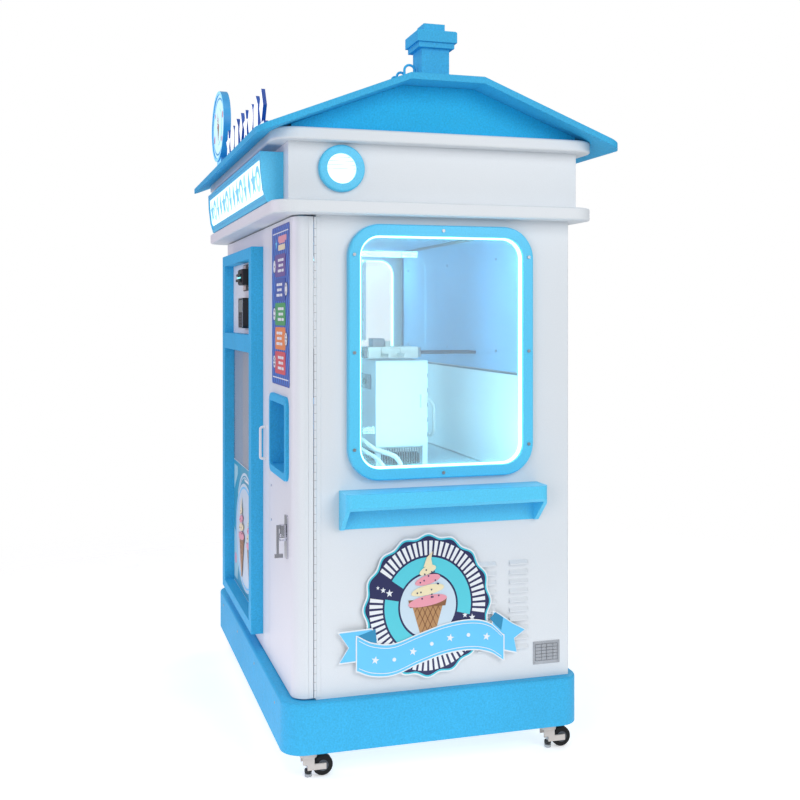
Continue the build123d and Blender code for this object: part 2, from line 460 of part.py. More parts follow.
# ---------------------------------------------------------------- gantry, carriage and gripper above the housing
RDX, RDZ = (160.0, 216.0), 1280.0
gr = bx(148, 228, -284, -272, T, 1296) + bx(148, 228, 410, 440, T, 1296)
for x in RDX:
    gr += cy(x, RDZ, -284, 440, 6)
node("gantry_rail", gr)
cg = bx(140, 256, -92, 92, 1262, 1302) + bx(140, 246, -104, -91, 1266, 1298) + bx(140, 246, 91, 104, 1266, 1298)
cg = cg - [cy(x, RDZ, -110, 110, 6.6) for x in RDX]
cg -= bx(248, 260, -46, 26, 1268.5, 1298)
cg -= bx(166, 250, -21, 1, 1288.5, 1297.5)
cg += bx(160, 214, -64, -22, 1302, 1330) + bx(166, 208, -16, 4, 1302, 1322)
node("carriage", cg)
jw = bx(249, 256.5, -44, 24, 1269.5, 1297) + bx(172, 249.5, -20, 0, 1289, 1297)
jw += bx(256, 345, -44, -34, 1269.5, 1280) + bx(256, 345, 14, 24, 1269.5, 1280)
node("gripper_fork", jw)

# ---------------------------------------------------------------- refrigeration unit and fan in the base
FAN_X, FAN_Z = 260.0, 440.0
ru = cz(-180, 180, 262, 470, 95)
ru = fillet(ru.edges().filter_by(GeomType.CIRCLE).filter_by(lambda e: e.center().Z > 460), 30)
ru += bx(-300, -60, 60, 300, CAB_Z0, 263)
cond = bx(100, 420, 330, 400, CAB_Z0, 620)
cond += [bx(100, 420, 322, 331, 300 + i * 20, 304 + i * 20) for i in range(16)]
shroud = bx(100, 420, 400, 440, 280, 600) - cy(FAN_X, FAN_Z, 399, 441, 142)
spd = bx(FAN_X - 145, FAN_X + 145, 402, 406, FAN_Z - 8, FAN_Z + 8) + cy(FAN_X, FAN_Z, 400, 412, 24)
node("refrigeration_unit", ru, cond + shroud + spd)
fan = cy(FAN_X, FAN_Z, 413, 432, 26)
for k in range(5):
    b = Rot(0, 0, 0) * Pos(75, 0, 0) * Rot(28, 0, 0) * Box(116, 22, 2.2)
    fan += Pos(FAN_X, 422.5, FAN_Z) * Rot(0, k * 72, 0) * b
node("condenser_fan", fan)
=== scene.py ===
import bpy
import bmesh
import json
import math
import random
from mathutils import Vector, Matrix

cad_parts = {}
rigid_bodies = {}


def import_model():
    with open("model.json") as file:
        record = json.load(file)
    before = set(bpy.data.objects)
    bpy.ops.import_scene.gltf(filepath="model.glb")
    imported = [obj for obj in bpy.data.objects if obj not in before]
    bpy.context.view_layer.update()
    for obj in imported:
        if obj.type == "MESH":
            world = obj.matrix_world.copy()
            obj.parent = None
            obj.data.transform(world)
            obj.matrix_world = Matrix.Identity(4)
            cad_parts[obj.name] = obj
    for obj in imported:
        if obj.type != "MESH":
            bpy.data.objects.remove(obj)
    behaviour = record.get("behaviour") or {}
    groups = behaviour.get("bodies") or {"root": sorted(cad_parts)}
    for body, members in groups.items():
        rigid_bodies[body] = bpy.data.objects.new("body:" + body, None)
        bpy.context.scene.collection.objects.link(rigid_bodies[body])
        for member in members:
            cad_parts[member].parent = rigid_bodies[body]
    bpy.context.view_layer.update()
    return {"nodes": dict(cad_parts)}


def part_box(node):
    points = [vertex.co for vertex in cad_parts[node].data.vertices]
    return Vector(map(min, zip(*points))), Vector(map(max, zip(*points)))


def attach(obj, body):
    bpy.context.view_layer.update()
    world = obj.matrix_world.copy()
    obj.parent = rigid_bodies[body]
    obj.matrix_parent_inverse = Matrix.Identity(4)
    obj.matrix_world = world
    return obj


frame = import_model()
NODES = frame["nodes"]
random.seed(7)


# ------------------------------------------------------------------ colour and material helpers
def lin(r, g, b, a=1.0):
    f = lambda c: (c / 255 / 12.92) if c / 255 <= 0.04045 else ((c / 255 + 0.055) / 1.055) ** 2.4
    return (f(r), f(g), f(b), a)


def mat(name):
    m = bpy.data.materials.new(name)
    m.use_nodes = True
    nt = m.node_tree
    nt.nodes.clear()
    out = nt.nodes.new("ShaderNodeOutputMaterial")
    p = nt.nodes.new("ShaderNodeBsdfPrincipled")
    nt.links.new(p.outputs[0], out.inputs[0])
    return m, nt, p


def node(nt, kind, **kw):
    n = nt.nodes.new(kind)
    for k, v in kw.items():
        if k in ("operation", "data_type", "blend_type", "feature", "wave_type", "bands_direction", "interpolation_type", "samples"):
            setattr(n, k, v)
        else:
            n.inputs[k.replace("_", " ")].default_value = v
    return n


def coords(nt):
    return nt.nodes.new("ShaderNodeTexCoord").outputs["Object"]


def ramp(nt, fac, stops, mode="LINEAR"):
    r = nt.nodes.new("ShaderNodeValToRGB")
    r.color_ramp.interpolation = mode
    e = r.color_ramp.elements
    while len(e) < len(stops):
        e.new(0.5)
    for i, (p, c) in enumerate(stops):
        e[i].position = p
        e[i].color = c
    nt.links.new(fac, r.inputs[0])
    return r.outputs[0]


def tone(c, k):
    return (min(1, c[0] * k), min(1, c[1] * k), min(1, c[2] * k), 1)


def bump(nt, p, height, strength, dist, edge=0.0):
    b = nt.nodes.new("ShaderNodeBump")
    b.inputs["Strength"].default_value = strength
    b.inputs["Distance"].default_value = dist
    nt.links.new(height, b.inputs["Height"])
    if edge:
        e = nt.nodes.new("ShaderNodeBevel")
        e.samples = 3
        e.inputs["Radius"].default_value = edge
        nt.links.new(e.outputs[0], b.inputs["Normal"])
    nt.links.new(b.outputs[0], p.inputs["Normal"])


def paint(name, col, rough=0.38, grain=420, depth=0.00018, strength=0.35, vary=0.05, coat=0.0, metallic=0.0, edge=0.0012, wear=None, spec=0.5, speck=0.93):
    """Sprayed paint: orange-peel bump, faint tone drift and roughness drift."""
    m, nt, p = mat(name)
    co = coords(nt)
    big = node(nt, "ShaderNodeTexNoise", Scale=2.2, Detail=3.0, Roughness=0.55)
    fine = node(nt, "ShaderNodeTexNoise", Scale=float(grain), Detail=2.0, Roughness=0.5)
    mid = node(nt, "ShaderNodeTexNoise", Scale=grain / 9.0, Detail=4.0, Roughness=0.6)
    for n in (big, fine, mid):
        nt.links.new(co, n.inputs["Vector"])
    c1 = ramp(nt, big.outputs[0], [(0.3, tone(col, 1 - vary)), (0.7, tone(col, 1 + vary))])
    mix = nt.nodes.new("ShaderNodeMix")
    mix.data_type = "RGBA"
    mix.blend_type = "MULTIPLY"
    mix.inputs["Factor"].default_value = 1.0
    nt.links.new(c1, mix.inputs["A"])
    nt.links.new(ramp(nt, fine.outputs[0], [(0.25, (speck, speck, speck, 1)), (0.75, (1, 1, 1, 1))]), mix.inputs["B"])
    nt.links.new(mix.outputs["Result"], p.inputs["Base Color"])
    r = nt.nodes.new("ShaderNodeMapRange")
    r.inputs["To Min"].default_value = rough - 0.06
    r.inputs["To Max"].default_value = rough + 0.08
    nt.links.new(mid.outputs[0], r.inputs["Value"])
    nt.links.new(r.outputs[0], p.inputs["Roughness"])
    p.inputs["Metallic"].default_value = metallic
    p.inputs["Coat Weight"].default_value = coat
    p.inputs["Coat Roughness"].default_value = 0.25
    p.inputs["Specular IOR Level"].default_value = spec
    bump(nt, p, fine.outputs[0], strength, depth, edge)
    return m


def metal(name, col, rough=0.28, axis=2, stretch=60.0, depth=0.00006, edge=0.0006):
    """Brushed or polished metal with fine lines along one axis."""
    m, nt, p = mat(name)
    co = coords(nt)
    mp = nt.nodes.new("ShaderNodeMapping")
    sc = [900.0, 900.0, 900.0]
    sc[axis] = 900.0 / stretch
    mp.inputs["Scale"].default_value = sc
    nt.links.new(co, mp.inputs["Vector"])
    n = node(nt, "ShaderNodeTexNoise", Scale=1.0, Detail=3.0, Roughness=0.6)
    nt.links.new(mp.outputs[0], n.inputs["Vector"])
    blot = node(nt, "ShaderNodeTexNoise", Scale=35.0, Detail=4.0, Roughness=0.6)
    nt.links.new(co, blot.inputs["Vector"])
    nt.links.new(ramp(nt, blot.outputs[0], [(0.3, tone(col, 0.88)), (0.7, tone(col, 1.05))]), p.inputs["Base Color"])
    p.inputs["Metallic"].default_value = 1.0
    r = nt.nodes.new("ShaderNodeMapRange")
    r.inputs["To Min"].default_value = rough * 0.7
    r.inputs["To Max"].default_value = rough * 1.4
    nt.links.new(n.outputs[0], r.inputs["Value"])
    nt.links.new(r.outputs[0], p.inputs["Roughness"])
    bump(nt, p, n.outputs[0], 0.3, depth, edge)
    return m


def glow(name, col, strength, base=None, body=0.5):
    """Glowing material with a faint cloudiness, so it is not one flat tone: back-lit diffusers for the lamps, and
    painted light where prints are made to glow.
    """
    m, nt, p = mat(name)
    co = coords(nt)
    n = node(nt, "ShaderNodeTexNoise", Scale=6.0, Detail=3.0, Roughness=0.5)
    nt.links.new(co, n.inputs["Vector"])
    c = ramp(nt, n.outputs[0], [(0.3, tone(col, 0.93)), (0.7, tone(col, 1.0))])
    nt.links.new(c, p.inputs["Emission Color"])
    nt.links.new(c, p.inputs["Base Color"])
    p.inputs["Emission Strength"].default_value = strength
    p.inputs["Roughness"].default_value = 0.3
    return m


def clear(name, col, rough=0.02, ior=1.45, alpha=1.0, trans=1.0):
    m, nt, p = mat(name)
    co = coords(nt)
    n = node(nt, "ShaderNodeTexNoise", Scale=14.0, Detail=3.0, Roughness=0.5)
    nt.links.new(co, n.inputs["Vector"])
    nt.links.new(ramp(nt, n.outputs[0], [(0.3, tone(col, 0.985)), (0.7, col)]), p.inputs["Base Color"])
    p.inputs["Transmission Weight"].default_value = trans
    p.inputs["IOR"].default_value = ior
    r = nt.nodes.new("ShaderNodeMapRange")
    r.inputs["To Min"].default_value = rough
    r.inputs["To Max"].default_value = rough + 0.02
    nt.links.new(n.outputs[0], r.inputs["Value"])
    nt.links.new(r.outputs[0], p.inputs["Roughness"])
    p.inputs["Alpha"].default_value = alpha
    return m


BLUE = lin(60, 185, 238)
WHITE = lin(226, 231, 236)
M = {}
M["blue"] = paint("blue_paint", BLUE, rough=0.56, grain=190, strength=0.9, depth=0.0012, vary=0.05, spec=0.28, speck=0.78)
# Gable walls use a brighter, more saturated copy of the blue paint, standing in for the light they lack under the roof
# overhang: painted light.
M["gable_blue_painted_light"] = paint("blue_gable", lin(34, 193, 248), rough=0.58, grain=190, strength=0.9, depth=0.0012, vary=0.04, spec=0.25, speck=0.78)
M["frame_blue"] = paint("frame_blue", lin(88, 210, 255), rough=0.42, grain=240, strength=0.5, depth=0.0006, vary=0.03, coat=0.1, speck=0.86)
M["white"] = paint("white_paint", WHITE, rough=0.40, grain=600, strength=0.3, depth=0.00015, vary=0.012, coat=0.1)
M["board"] = paint("white_board", lin(228, 232, 236), rough=0.48, grain=420, strength=0.35, vary=0.012)
M["inner"] = paint("inner_steel", lin(190, 214, 226), rough=0.42, grain=300, strength=0.2, vary=0.03)
M["inner_white"] = paint("inner_white", lin(222, 230, 234), rough=0.4, grain=300, strength=0.2, vary=0.02)
M["black"] = paint("black_plastic", lin(22, 22, 26), rough=0.45, grain=900, strength=0.5, depth=0.0002, vary=0.2)
M["cream"] = paint("cream_plastic", lin(205, 196, 190), rough=0.4, grain=700, strength=0.3, vary=0.04)
M["rubber"] = paint("tyre_rubber", lin(20, 20, 22), rough=0.68, grain=500, strength=0.6, depth=0.0003, vary=0.25, spec=0.3)
M["hose"] = paint("hose_white", lin(226, 228, 226), rough=0.35, grain=400, strength=0.2, vary=0.03)
M["chrome"] = metal("chrome_latch", lin(205, 205, 214), rough=0.10, stretch=6.0)
M["steel"] = metal("brushed_steel", lin(176, 180, 186), rough=0.30)
M["alu"] = metal("aluminium_rail", lin(196, 200, 206), rough=0.34, axis=1)
M["dark_steel"] = metal("dark_rods", lin(78, 92, 108), rough=0.3)
M["galv"] = metal("zinc_plate", lin(150, 160, 170), rough=0.42, stretch=3.0)
M["led"] = glow("led_strip", lin(176, 248, 255), 2.4)
M["lens"] = glow("lit_lens", lin(226, 244, 252), 0.92)
M["pane"] = clear("window_glass", lin(236, 252, 255), alpha=0.16, trans=0.2, rough=0.01)
M["dark_pane"] = clear("door_glass", lin(150, 165, 185), alpha=0.35, trans=0.3)
M["tube"] = clear("clear_tube", lin(225, 245, 250), alpha=0.35)

# ------------------------------------------------------------------ CAD nodes get their finish
FIN = {
    "plinth": "blue", "inner_frame": "inner", "right_side_panel": "white", "left_side_panel": "white", "rear_panel": "white",
    "power_inlet": "black", "ledges": "board", "fascia_walls": "white", "lamp_ring": "frame_blue", "light_lenses": "lens",
    "roof_panels": "blue", "gable_walls": "gable_blue_painted_light", "chimney": "blue", "sign_box": "frame_blue", "window_frames": "frame_blue",
    "window_lights": "led", "window_panes": "pane", "window_screws": "steel", "side_shelf": "frame_blue", "badge_plate": "board",
    "name_plate": "steel", "hinge_hardware": "white", "levelling_pads": "steel", "freezer_housing": "inner_white",
    "freezing_cylinder": "steel", "hopper": "inner_white", "cup_tube": "tube", "mix_hose": "hose", "gantry_rail": "dark_steel",
    "refrigeration_unit": "black", "main_door": "white", "door_frame": "blue", "payment_panel": "inner_white",
    "bill_acceptor": "black", "card_terminal": "black", "door_glass": "dark_pane", "poster_panel": "board", "door_handle": "white",
    "corner_door": "white", "instruction_strip": "board", "pickup_recess": "blue", "latch_plate": "chrome", "pickup_hatch": "blue",
    "latch_spindle": "chrome", "latch_lever": "chrome", "freezer_door": "inner_white", "beater": "steel", "hopper_lid": "inner_white",
    "carriage": "cream", "gripper_fork": "cream", "condenser_fan": "black", "roof_ornaments": "board",
}
for n in NODES:
    if n.startswith("caster_yoke"):
        FIN[n] = "cream"
    if n.startswith("caster_wheel"):
        FIN[n] = "rubber"


def dress(obj, m):
    obj.data.materials.clear()
    obj.data.materials.append(m)
    for pl in obj.data.polygons:
        pl.material_index = 0


for n, o in NODES.items():
    for part in ([o] if o.type == "MESH" else []) + [c for c in o.children_recursive if c.type == "MESH"]:
        for i in range(max(1, len(part.material_slots))):
            if len(part.material_slots):
                part.material_slots[i].material = M[FIN[n]]
            else:
                part.data.materials.append(M[FIN[n]])


# ------------------------------------------------------------------ mesh helpers (metres)
def obj_from(name, verts, faces, m, body="cabinet", smooth=False):
    me = bpy.data.meshes.new(name)
    me.from_pydata([tuple(v) for v in verts], [], faces)
    me.validate()
    me.update()
    o = bpy.data.objects.new(name, me)
    bpy.context.scene.collection.objects.link(o)
    me.materials.append(m)
    if smooth:
        for pl in me.polygons:
            pl.use_smooth = True
    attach(o, body)
    return o


def to3(plane, u, v, w):
    """Plane 'x' has u=y, v=z, w=x. Plane 'y' has u=x, v=z, w=y. Plane 'z' has u=x, v=y, w=z."""
    return {"x": (w, u, v), "y": (u, w, v), "z": (u, v, w)}[plane]


def plate(name, loops, plane, w0, w1, m, body="cabinet", bevel=0.0):
    """Flat plates from outlines of (u, v) points, between two depths; each outline becomes one n-gon face in bmesh."""
    bm = bmesh.new()
    for pts in loops:
        vs = [bm.verts.new(to3(plane, u, v, w0)) for u, v in pts]
        f = bm.faces.new(vs)
        r = bmesh.ops.extrude_face_region(bm, geom=[f])
        d = Vector(to3(plane, 0, 0, w1 - w0))
        bmesh.ops.translate(bm, vec=d, verts=[v for v in r["geom"] if isinstance(v, bmesh.types.BMVert)])
    bmesh.ops.recalc_face_normals(bm, faces=bm.faces)
    me = bpy.data.meshes.new(name)
    bm.to_mesh(me)
    bm.free()
    o = bpy.data.objects.new(name, me)
    bpy.context.scene.collection.objects.link(o)
    me.materials.append(m)
    if bevel:
        b = o.modifiers.new("edge", "BEVEL")
        b.width = bevel
        b.segments = 3
        b.limit_method = "ANGLE"
    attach(o, body)
    return o


def ringplate(name, outer, inner, plane, w0, w1, m, body="cabinet"):
    """Plate between two outlines with the same number of points."""
    n = len(outer)
    vs, fs = [], []
    for w in (w0, w1):
        for pts in (outer, inner):
            vs += [to3(plane, u, v, w) for u, v in pts]
    for i in range(n):
        j = (i + 1) % n
        fs.append((i, j, n + j, n + i))
        fs.append((2 * n + i, 3 * n + i, 3 * n + j, 2 * n + j))
        fs.append((i, 2 * n + i, 2 * n + j, j))
        fs.append((n + i, n + j, 3 * n + j, 3 * n + i))
    o = obj_from(name, vs, fs, m, body)
    bm = bmesh.new()
    bm.from_mesh(o.data)
    bmesh.ops.recalc_face_normals(bm, faces=bm.faces)
    bm.to_mesh(o.data)
    bm.free()
    return o


def circ(cu, cv, r, n=48, a0=0.0, a1=2 * math.pi, closed=True):
    k = n if closed else n + 1
    return [(cu + r * math.cos(a0 + (a1 - a0) * i / n), cv + r * math.sin(a0 + (a1 - a0) * i / n)) for i in range(k)]


def rrect(u0, u1, v0, v1, r, n=8):
    out = []
    for cu, cv, a in ((u1 - r, v1 - r, 0), (u0 + r, v1 - r, 1), (u0 + r, v0 + r, 2), (u1 - r, v0 + r, 3)):
        for i in range(n + 1):
            t = (a + i / n) * math.pi / 2
            out.append((cu + r * math.cos(t), cv + r * math.sin(t)))
    return out


def star(cu, cv, r1, r2, n=5, rot=0.0):
    return [(cu + (r1 if i % 2 == 0 else r2) * math.sin(rot + math.pi * i / n),
             cv + (r1 if i % 2 == 0 else r2) * math.cos(rot + math.pi * i / n)) for i in range(2 * n)]


def arcband(cu, cv, r0, r1, a0, a1, n=24):
    o = circ(cu, cv, r1, n, a0, a1, False)
    i = circ(cu, cv, r0, n, a0, a1, False)
    return o + i[::-1]


def lathe(name, prof, axis, centre, m, body="cabinet", n=40, smooth=True):
    """Profile of (radius, along) points turned about an axis through centre."""
    vs, fs = [], []
    for r, a in prof:
        for k in range(n):
            t = 2 * math.pi * k / n
            c, s = r * math.cos(t), r * math.sin(t)
            p = {"x": (a, c, s), "y": (c, a, s), "z": (c, s, a)}[axis]
            vs.append((p[0] + centre[0], p[1] + centre[1], p[2] + centre[2]))
    for i in range(len(prof) - 1):
        for k in range(n):
            k2 = (k + 1) % n
            fs.append((i * n + k, i * n + k2, (i + 1) * n + k2, (i + 1) * n + k))
    if prof[0][0] > 1e-6:
        fs.append(tuple(range(n))[::-1])
    if prof[-1][0] > 1e-6:
        fs.append(tuple((len(prof) - 1) * n + k for k in range(n)))
    o = obj_from(name, vs, fs, m, body, False)
    bm = bmesh.new()
    bm.from_mesh(o.data)
    bmesh.ops.remove_doubles(bm, verts=bm.verts, dist=1e-6)
    bmesh.ops.recalc_face_normals(bm, faces=bm.faces)
    for f in bm.faces:
        f.smooth = smooth
    for e in bm.edges:
        if len(e.link_faces) == 2 and e.calc_face_angle(0) > 0.6:
            e.smooth = False
    bm.to_mesh(o.data)
    bm.free()
    return o


def tube(name, pts, r, m, body="cabinet", res=6):
    cu = bpy.data.curves.new(name, "CURVE")
    cu.dimensions = "3D"
    cu.bevel_depth = r
    cu.bevel_resolution = res
    cu.resolution_u = 10
    sp = cu.splines.new("NURBS")
    sp.points.add(len(pts) - 1)
    for p, q in zip(sp.points, pts):
        p.co = (*q, 1)
    sp.order_u = 3
    sp.use_endpoint_u = True
    cu.use_fill_caps = True
    cu.materials.append(m)
    tmp = bpy.data.objects.new(name + "_c", cu)
    me = bpy.data.meshes.new_from_object(tmp)
    me.name = name
    bpy.data.objects.remove(tmp)
    o = bpy.data.objects.new(name, me)
    bpy.context.scene.collection.objects.link(o)
    if not len(me.materials):
        me.materials.append(m)
    for pl in me.polygons:
        pl.use_smooth = True
    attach(o, body)
    return o


def boxes(name, lst, m, body="cabinet", bevel=0.001, seg=2):
    """Several boxes in one mesh, each with softened edges."""
    bm = bmesh.new()
    for x0, x1, y0, y1, z0, z1 in lst:
        r = bmesh.ops.create_cube(bm, size=1.0)
        bmesh.ops.scale(bm, vec=(x1 - x0, y1 - y0, z1 - z0), verts=r["verts"])
        bmesh.ops.translate(bm, vec=((x0 + x1) / 2, (y0 + y1) / 2, (z0 + z1) / 2), verts=r["verts"])
    if bevel:
        bmesh.ops.bevel(bm, geom=list(bm.edges), offset=bevel, segments=seg, affect="EDGES", profile=0.5)
    me = bpy.data.meshes.new(name)
    bm.to_mesh(me)
    bm.free()
    me.materials.append(m)
    o = bpy.data.objects.new(name, me)
    bpy.context.scene.collection.objects.link(o)
    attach(o, body)
    return o


def printed(name, col, rough=0.35, vary=0.03):
    return paint(name, col, rough=rough, grain=700, strength=0.12, depth=0.00008, vary=vary, edge=0.0, coat=0.2)


PR = {k: printed("print_" + k, c) for k, c in {
    "navy": lin(28, 33, 86), "teal": lin(86, 208, 224), "teal_rim": lin(64, 200, 220), "white": lin(238, 242, 246), "sky": lin(104, 204, 252),
    "sky_dark": lin(34, 140, 186), "pink": lin(240, 160, 176), "red": lin(222, 62, 72), "cream": lin(244, 230, 190), "tan": lin(186, 140, 92),
    "brown": lin(140, 94, 58), "purple": lin(104, 62, 150), "green": lin(54, 160, 76), "orange": lin(240, 132, 44), "stripe": lin(60, 120, 214),
    "stripe_dark": lin(34, 66, 168), "pale": lin(206, 226, 240), "ground": lin(58, 160, 190), "mint": lin(176, 220, 226), "magenta": lin(206, 60, 120)}.items()}


# ------------------------------------------------------------------ badge: scalloped disc, cone motif and ribbon (printed layers on the plate)
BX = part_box("badge_plate")[1].x
BY, BZ = -0.029, 0.500
PI = math.pi


def scallop(r, amp, n=192, k=16):
    return [(BY + (r + amp * math.cos(k * 2 * PI * i / n)) * math.sin(2 * PI * i / n),
             BZ + (r + amp * math.cos(k * 2 * PI * i / n)) * math.cos(2 * PI * i / n)) for i in range(n)]


plate("badge_white_rim", [scallop(0.2079, 0.005)], "x", BX - 0.0004, BX + 0.0006, PR["white"])
plate("badge_teal_rim", [scallop(0.2035, 0.005)], "x", BX + 0.0004, BX + 0.0010, PR["teal_rim"])
plate("badge_navy", [scallop(0.1985, 0.005)], "x", BX + 0.0008, BX + 0.0014, PR["navy"])
ticks = []
for i in range(64):
    a = 2 * PI * (i + 0.5) / 64
    if 1.02 < (a % (2 * PI)) / 1.0 < 1.02 or (4.9 < a < 5.35) or (1.75 < a < 2.1):
        continue
    h0, h1 = 0.0042, 0.0058
    r0, r1 = 0.148, 0.190
    ca, sa = math.cos(a), math.sin(a)
    q = []
    for r, h in ((r0, -h0), (r1, -h1), (r1, h1), (r0, h0)):
        q.append((BY + r * sa + h * ca, BZ + r * ca - h * sa))
    ticks.append(q)
plate("badge_ticks", ticks, "x", BX + 0.0012, BX + 0.0018, PR["white"])
plate("badge_ring", [arcband(BY, BZ, 0.098, 0.142, -0.25, 2.55), arcband(BY, BZ, 0.098, 0.142, 2.95, 5.2)], "x", BX + 0.0012, BX + 0.0018, PR["teal"])
plate("badge_disc", [circ(BY, BZ, 0.092, 64)], "x", BX + 0.0012, BX + 0.0018, PR["pale"])
st = [star(BY + d * 0.0 + u, BZ + v, r, r * 0.42) for d, u, v, r in ((0, -0.163, 0.062, 0.006), (0, -0.146, 0.054, 0.009), (0, -0.126, 0.044, 0.012), (0, 0.146, -0.045, 0.011), (0, 0.122, -0.036, 0.009))]
plate("badge_stars", st, "x", BX + 0.0012, BX + 0.0018, PR["white"])


def cone_motif(tag, plane, cu, cv, s, w, body, flip=1):
    """Plain soft-serve cone: stacked swirl tiers over a waffle cone. s is half its height."""
    d = 0.0006 * flip
    tiers = []
    for k, (z, wd, h) in enumerate(((-0.02, 0.40, 0.20), (0.18, 0.34, 0.19), (0.37, 0.26, 0.18), (0.55, 0.17, 0.16))):
        pts = []
        for i in range(33):
            t = i / 32
            x = wd * math.cos(PI * t)
            y = z + h * 0.55 * math.sin(PI * t) + 0.05 * x / wd
            pts.append((cu + s * x, cv + s * y))
        for i in range(33):
            t = i / 32
            x = -wd * math.cos(PI * t)
            y = z - h * 0.42 * math.sin(PI * t) + 0.05 * x / wd
            pts.append((cu + s * x, cv + s * y))
        keep = []
        for q in pts:
            if not keep or (abs(q[0] - keep[-1][0]) + abs(q[1] - keep[-1][1])) > 1e-6:
                keep.append(q)
        if abs(keep[0][0] - keep[-1][0]) + abs(keep[0][1] - keep[-1][1]) < 1e-6:
            keep.pop()
        tiers.append(keep)
    tip = [(cu - s * 0.09, cv + s * 0.62), (cu + s * 0.10, cv + s * 0.63), (cu + s * 0.07, cv + s * 0.76), (cu + s * 0.10, cv + s * 0.90), (cu - s * 0.02, cv + s * 0.80)]
    cone = [(cu - s * 0.34, cv - s * 0.02), (cu + s * 0.34, cv - s * 0.02), (cu + s * 0.05, cv - s * 0.95), (cu - s * 0.05, cv - s * 0.95)]
    plate(tag + "_cone", [cone], plane, w, w + d, PR["tan"], body)
    rim = [(cu - s * 0.40, cv + s * 0.02), (cu + s * 0.40, cv + s * 0.02), (cu + s * 0.37, cv - s * 0.12), (cu - s * 0.37, cv - s * 0.12)]
    plate(tag + "_rim", [rim], plane, w + d, w + 1.6 * d, PR["brown"], body)
    lines = []
    for k in range(-3, 4):
        for sg in (-1, 1):
            x0 = k * 0.11
            a = (x0, -0.12)
            b = (x0 + sg * 0.34, -0.80)
            t0, t1 = 0.0, 1.0
            for j in range(41):
                t = j / 40
                x, y = a[0] + (b[0] - a[0]) * t, a[1] + (b[1] - a[1]) * t
                lim = 0.05 + (0.34 - 0.05) * (y + 0.95) / 0.93
                if abs(x) < lim - 0.012:
                    t1 = t
                else:
                    break
            if t1 >= 0.99 or t1 > 0.1:
                x1, y1 = a[0] + (b[0] - a[0]) * t1, a[1] + (b[1] - a[1]) * t1
                if abs(x0) > 0.30:
                    continue
                nx = 0.009
                lines.append([(cu + s * (a[0] - nx), cv + s * a[1]), (cu + s * (a[0] + nx), cv + s * a[1]), (cu + s * (x1 + nx), cv + s * y1), (cu + s * (x1 - nx), cv + s * y1)])
    plate(tag + "_waffle", lines, plane, w + d, w + 1.5 * d, PR["brown"], body)
    for k, tr in enumerate(tiers):
        plate(tag + "_tier%d" % k, [tr], plane, w + (1.8 + 0.5 * k) * d, w + (2.3 + 0.5 * k) * d, PR[("pink", "cream", "pink", "cream")[k]], body)
    plate(tag + "_tip", [tip], plane, w + 3.8 * d, w + 4.2 * d, PR["cream"], body)
    rnd = random.Random(3)
    sp = []
    for k in range(22):
        x, z = rnd.uniform(-0.3, 0.3), rnd.uniform(0.02, 0.6)
        if abs(x) > 0.36 - 0.42 * z:
            continue
        sp.append(circ(cu + s * x, cv + s * z, s * 0.016, 8))
    plate(tag + "_specks", sp, plane, w + 4.2 * d, w + 4.6 * d, PR["navy"], body)


cone_motif("badge_motif", "x", BY - 0.002, BZ + 0.016, 0.158, BX + 0.0018, "cabinet")


def wave(t, base, amp):
    return base + amp * math.sin(2 * PI * (t - 0.02) * 0.93 + 0.4) * -1


def ribbon(u0, u1, half, rise, lo, hi, w, m, tag):
    n = 48
    top, bot = [], []
    for i in range(n + 1):
        t = i / n
        u = u0 + (u1 - u0) * t
        c = rise(t)
        top.append((u, c + hi))
        bot.append((u, c + lo))
    plate(tag, [top + bot[::-1]], "x", w, w + 0.0007, m)


CL = [(-0.259, 0.378, 0.052), (-0.212, 0.356, 0.049), (-0.143, 0.350, 0.046), (-0.061, 0.376, 0.044), (0.028, 0.400, 0.044), (0.114, 0.406, 0.045), (0.177, 0.391, 0.044), (0.222, 0.356, 0.038)]


def cspline(u, k):
    """Smooth curve through the ribbon's centre points; k picks height or half width."""
    for i in range(len(CL) - 1):
        if u <= CL[i + 1][0] or i == len(CL) - 2:
            a, b = CL[i], CL[i + 1]
            h = b[0] - a[0]
            ma = (CL[i + 1][k] - CL[i - 1][k]) / (CL[i + 1][0] - CL[i - 1][0]) if i else (b[k] - a[k]) / h
            mb = (CL[i + 2][k] - CL[i][k]) / (CL[i + 2][0] - CL[i][0]) if i < len(CL) - 2 else (b[k] - a[k]) / h
            t = min(1.0, max(0.0, (u - a[0]) / h))
            return (2 * t ** 3 - 3 * t ** 2 + 1) * a[k] + (t ** 3 - 2 * t ** 2 + t) * h * ma + (-2 * t ** 3 + 3 * t ** 2) * b[k] + (t ** 3 - t ** 2) * h * mb


mid = lambda t: cspline(-0.259 + 0.481 * t, 1)
T0 = BX + 0.0030


def band(tag, inset, lo, hi, w, m):
    n = 72
    top, bot = [], []
    for i in range(n + 1):
        u = -0.259 - inset + (0.481 + 2 * inset) * i / n
        uu = min(max(u, -0.259), 0.222)
        top.append((u, cspline(uu, 1) + cspline(uu, 2) * hi[0] + hi[1]))
        bot.append((u, cspline(uu, 1) + cspline(uu, 2) * lo[0] + lo[1]))
    plate(tag, [top + bot[::-1]], "x", w, w + 0.0006, m)


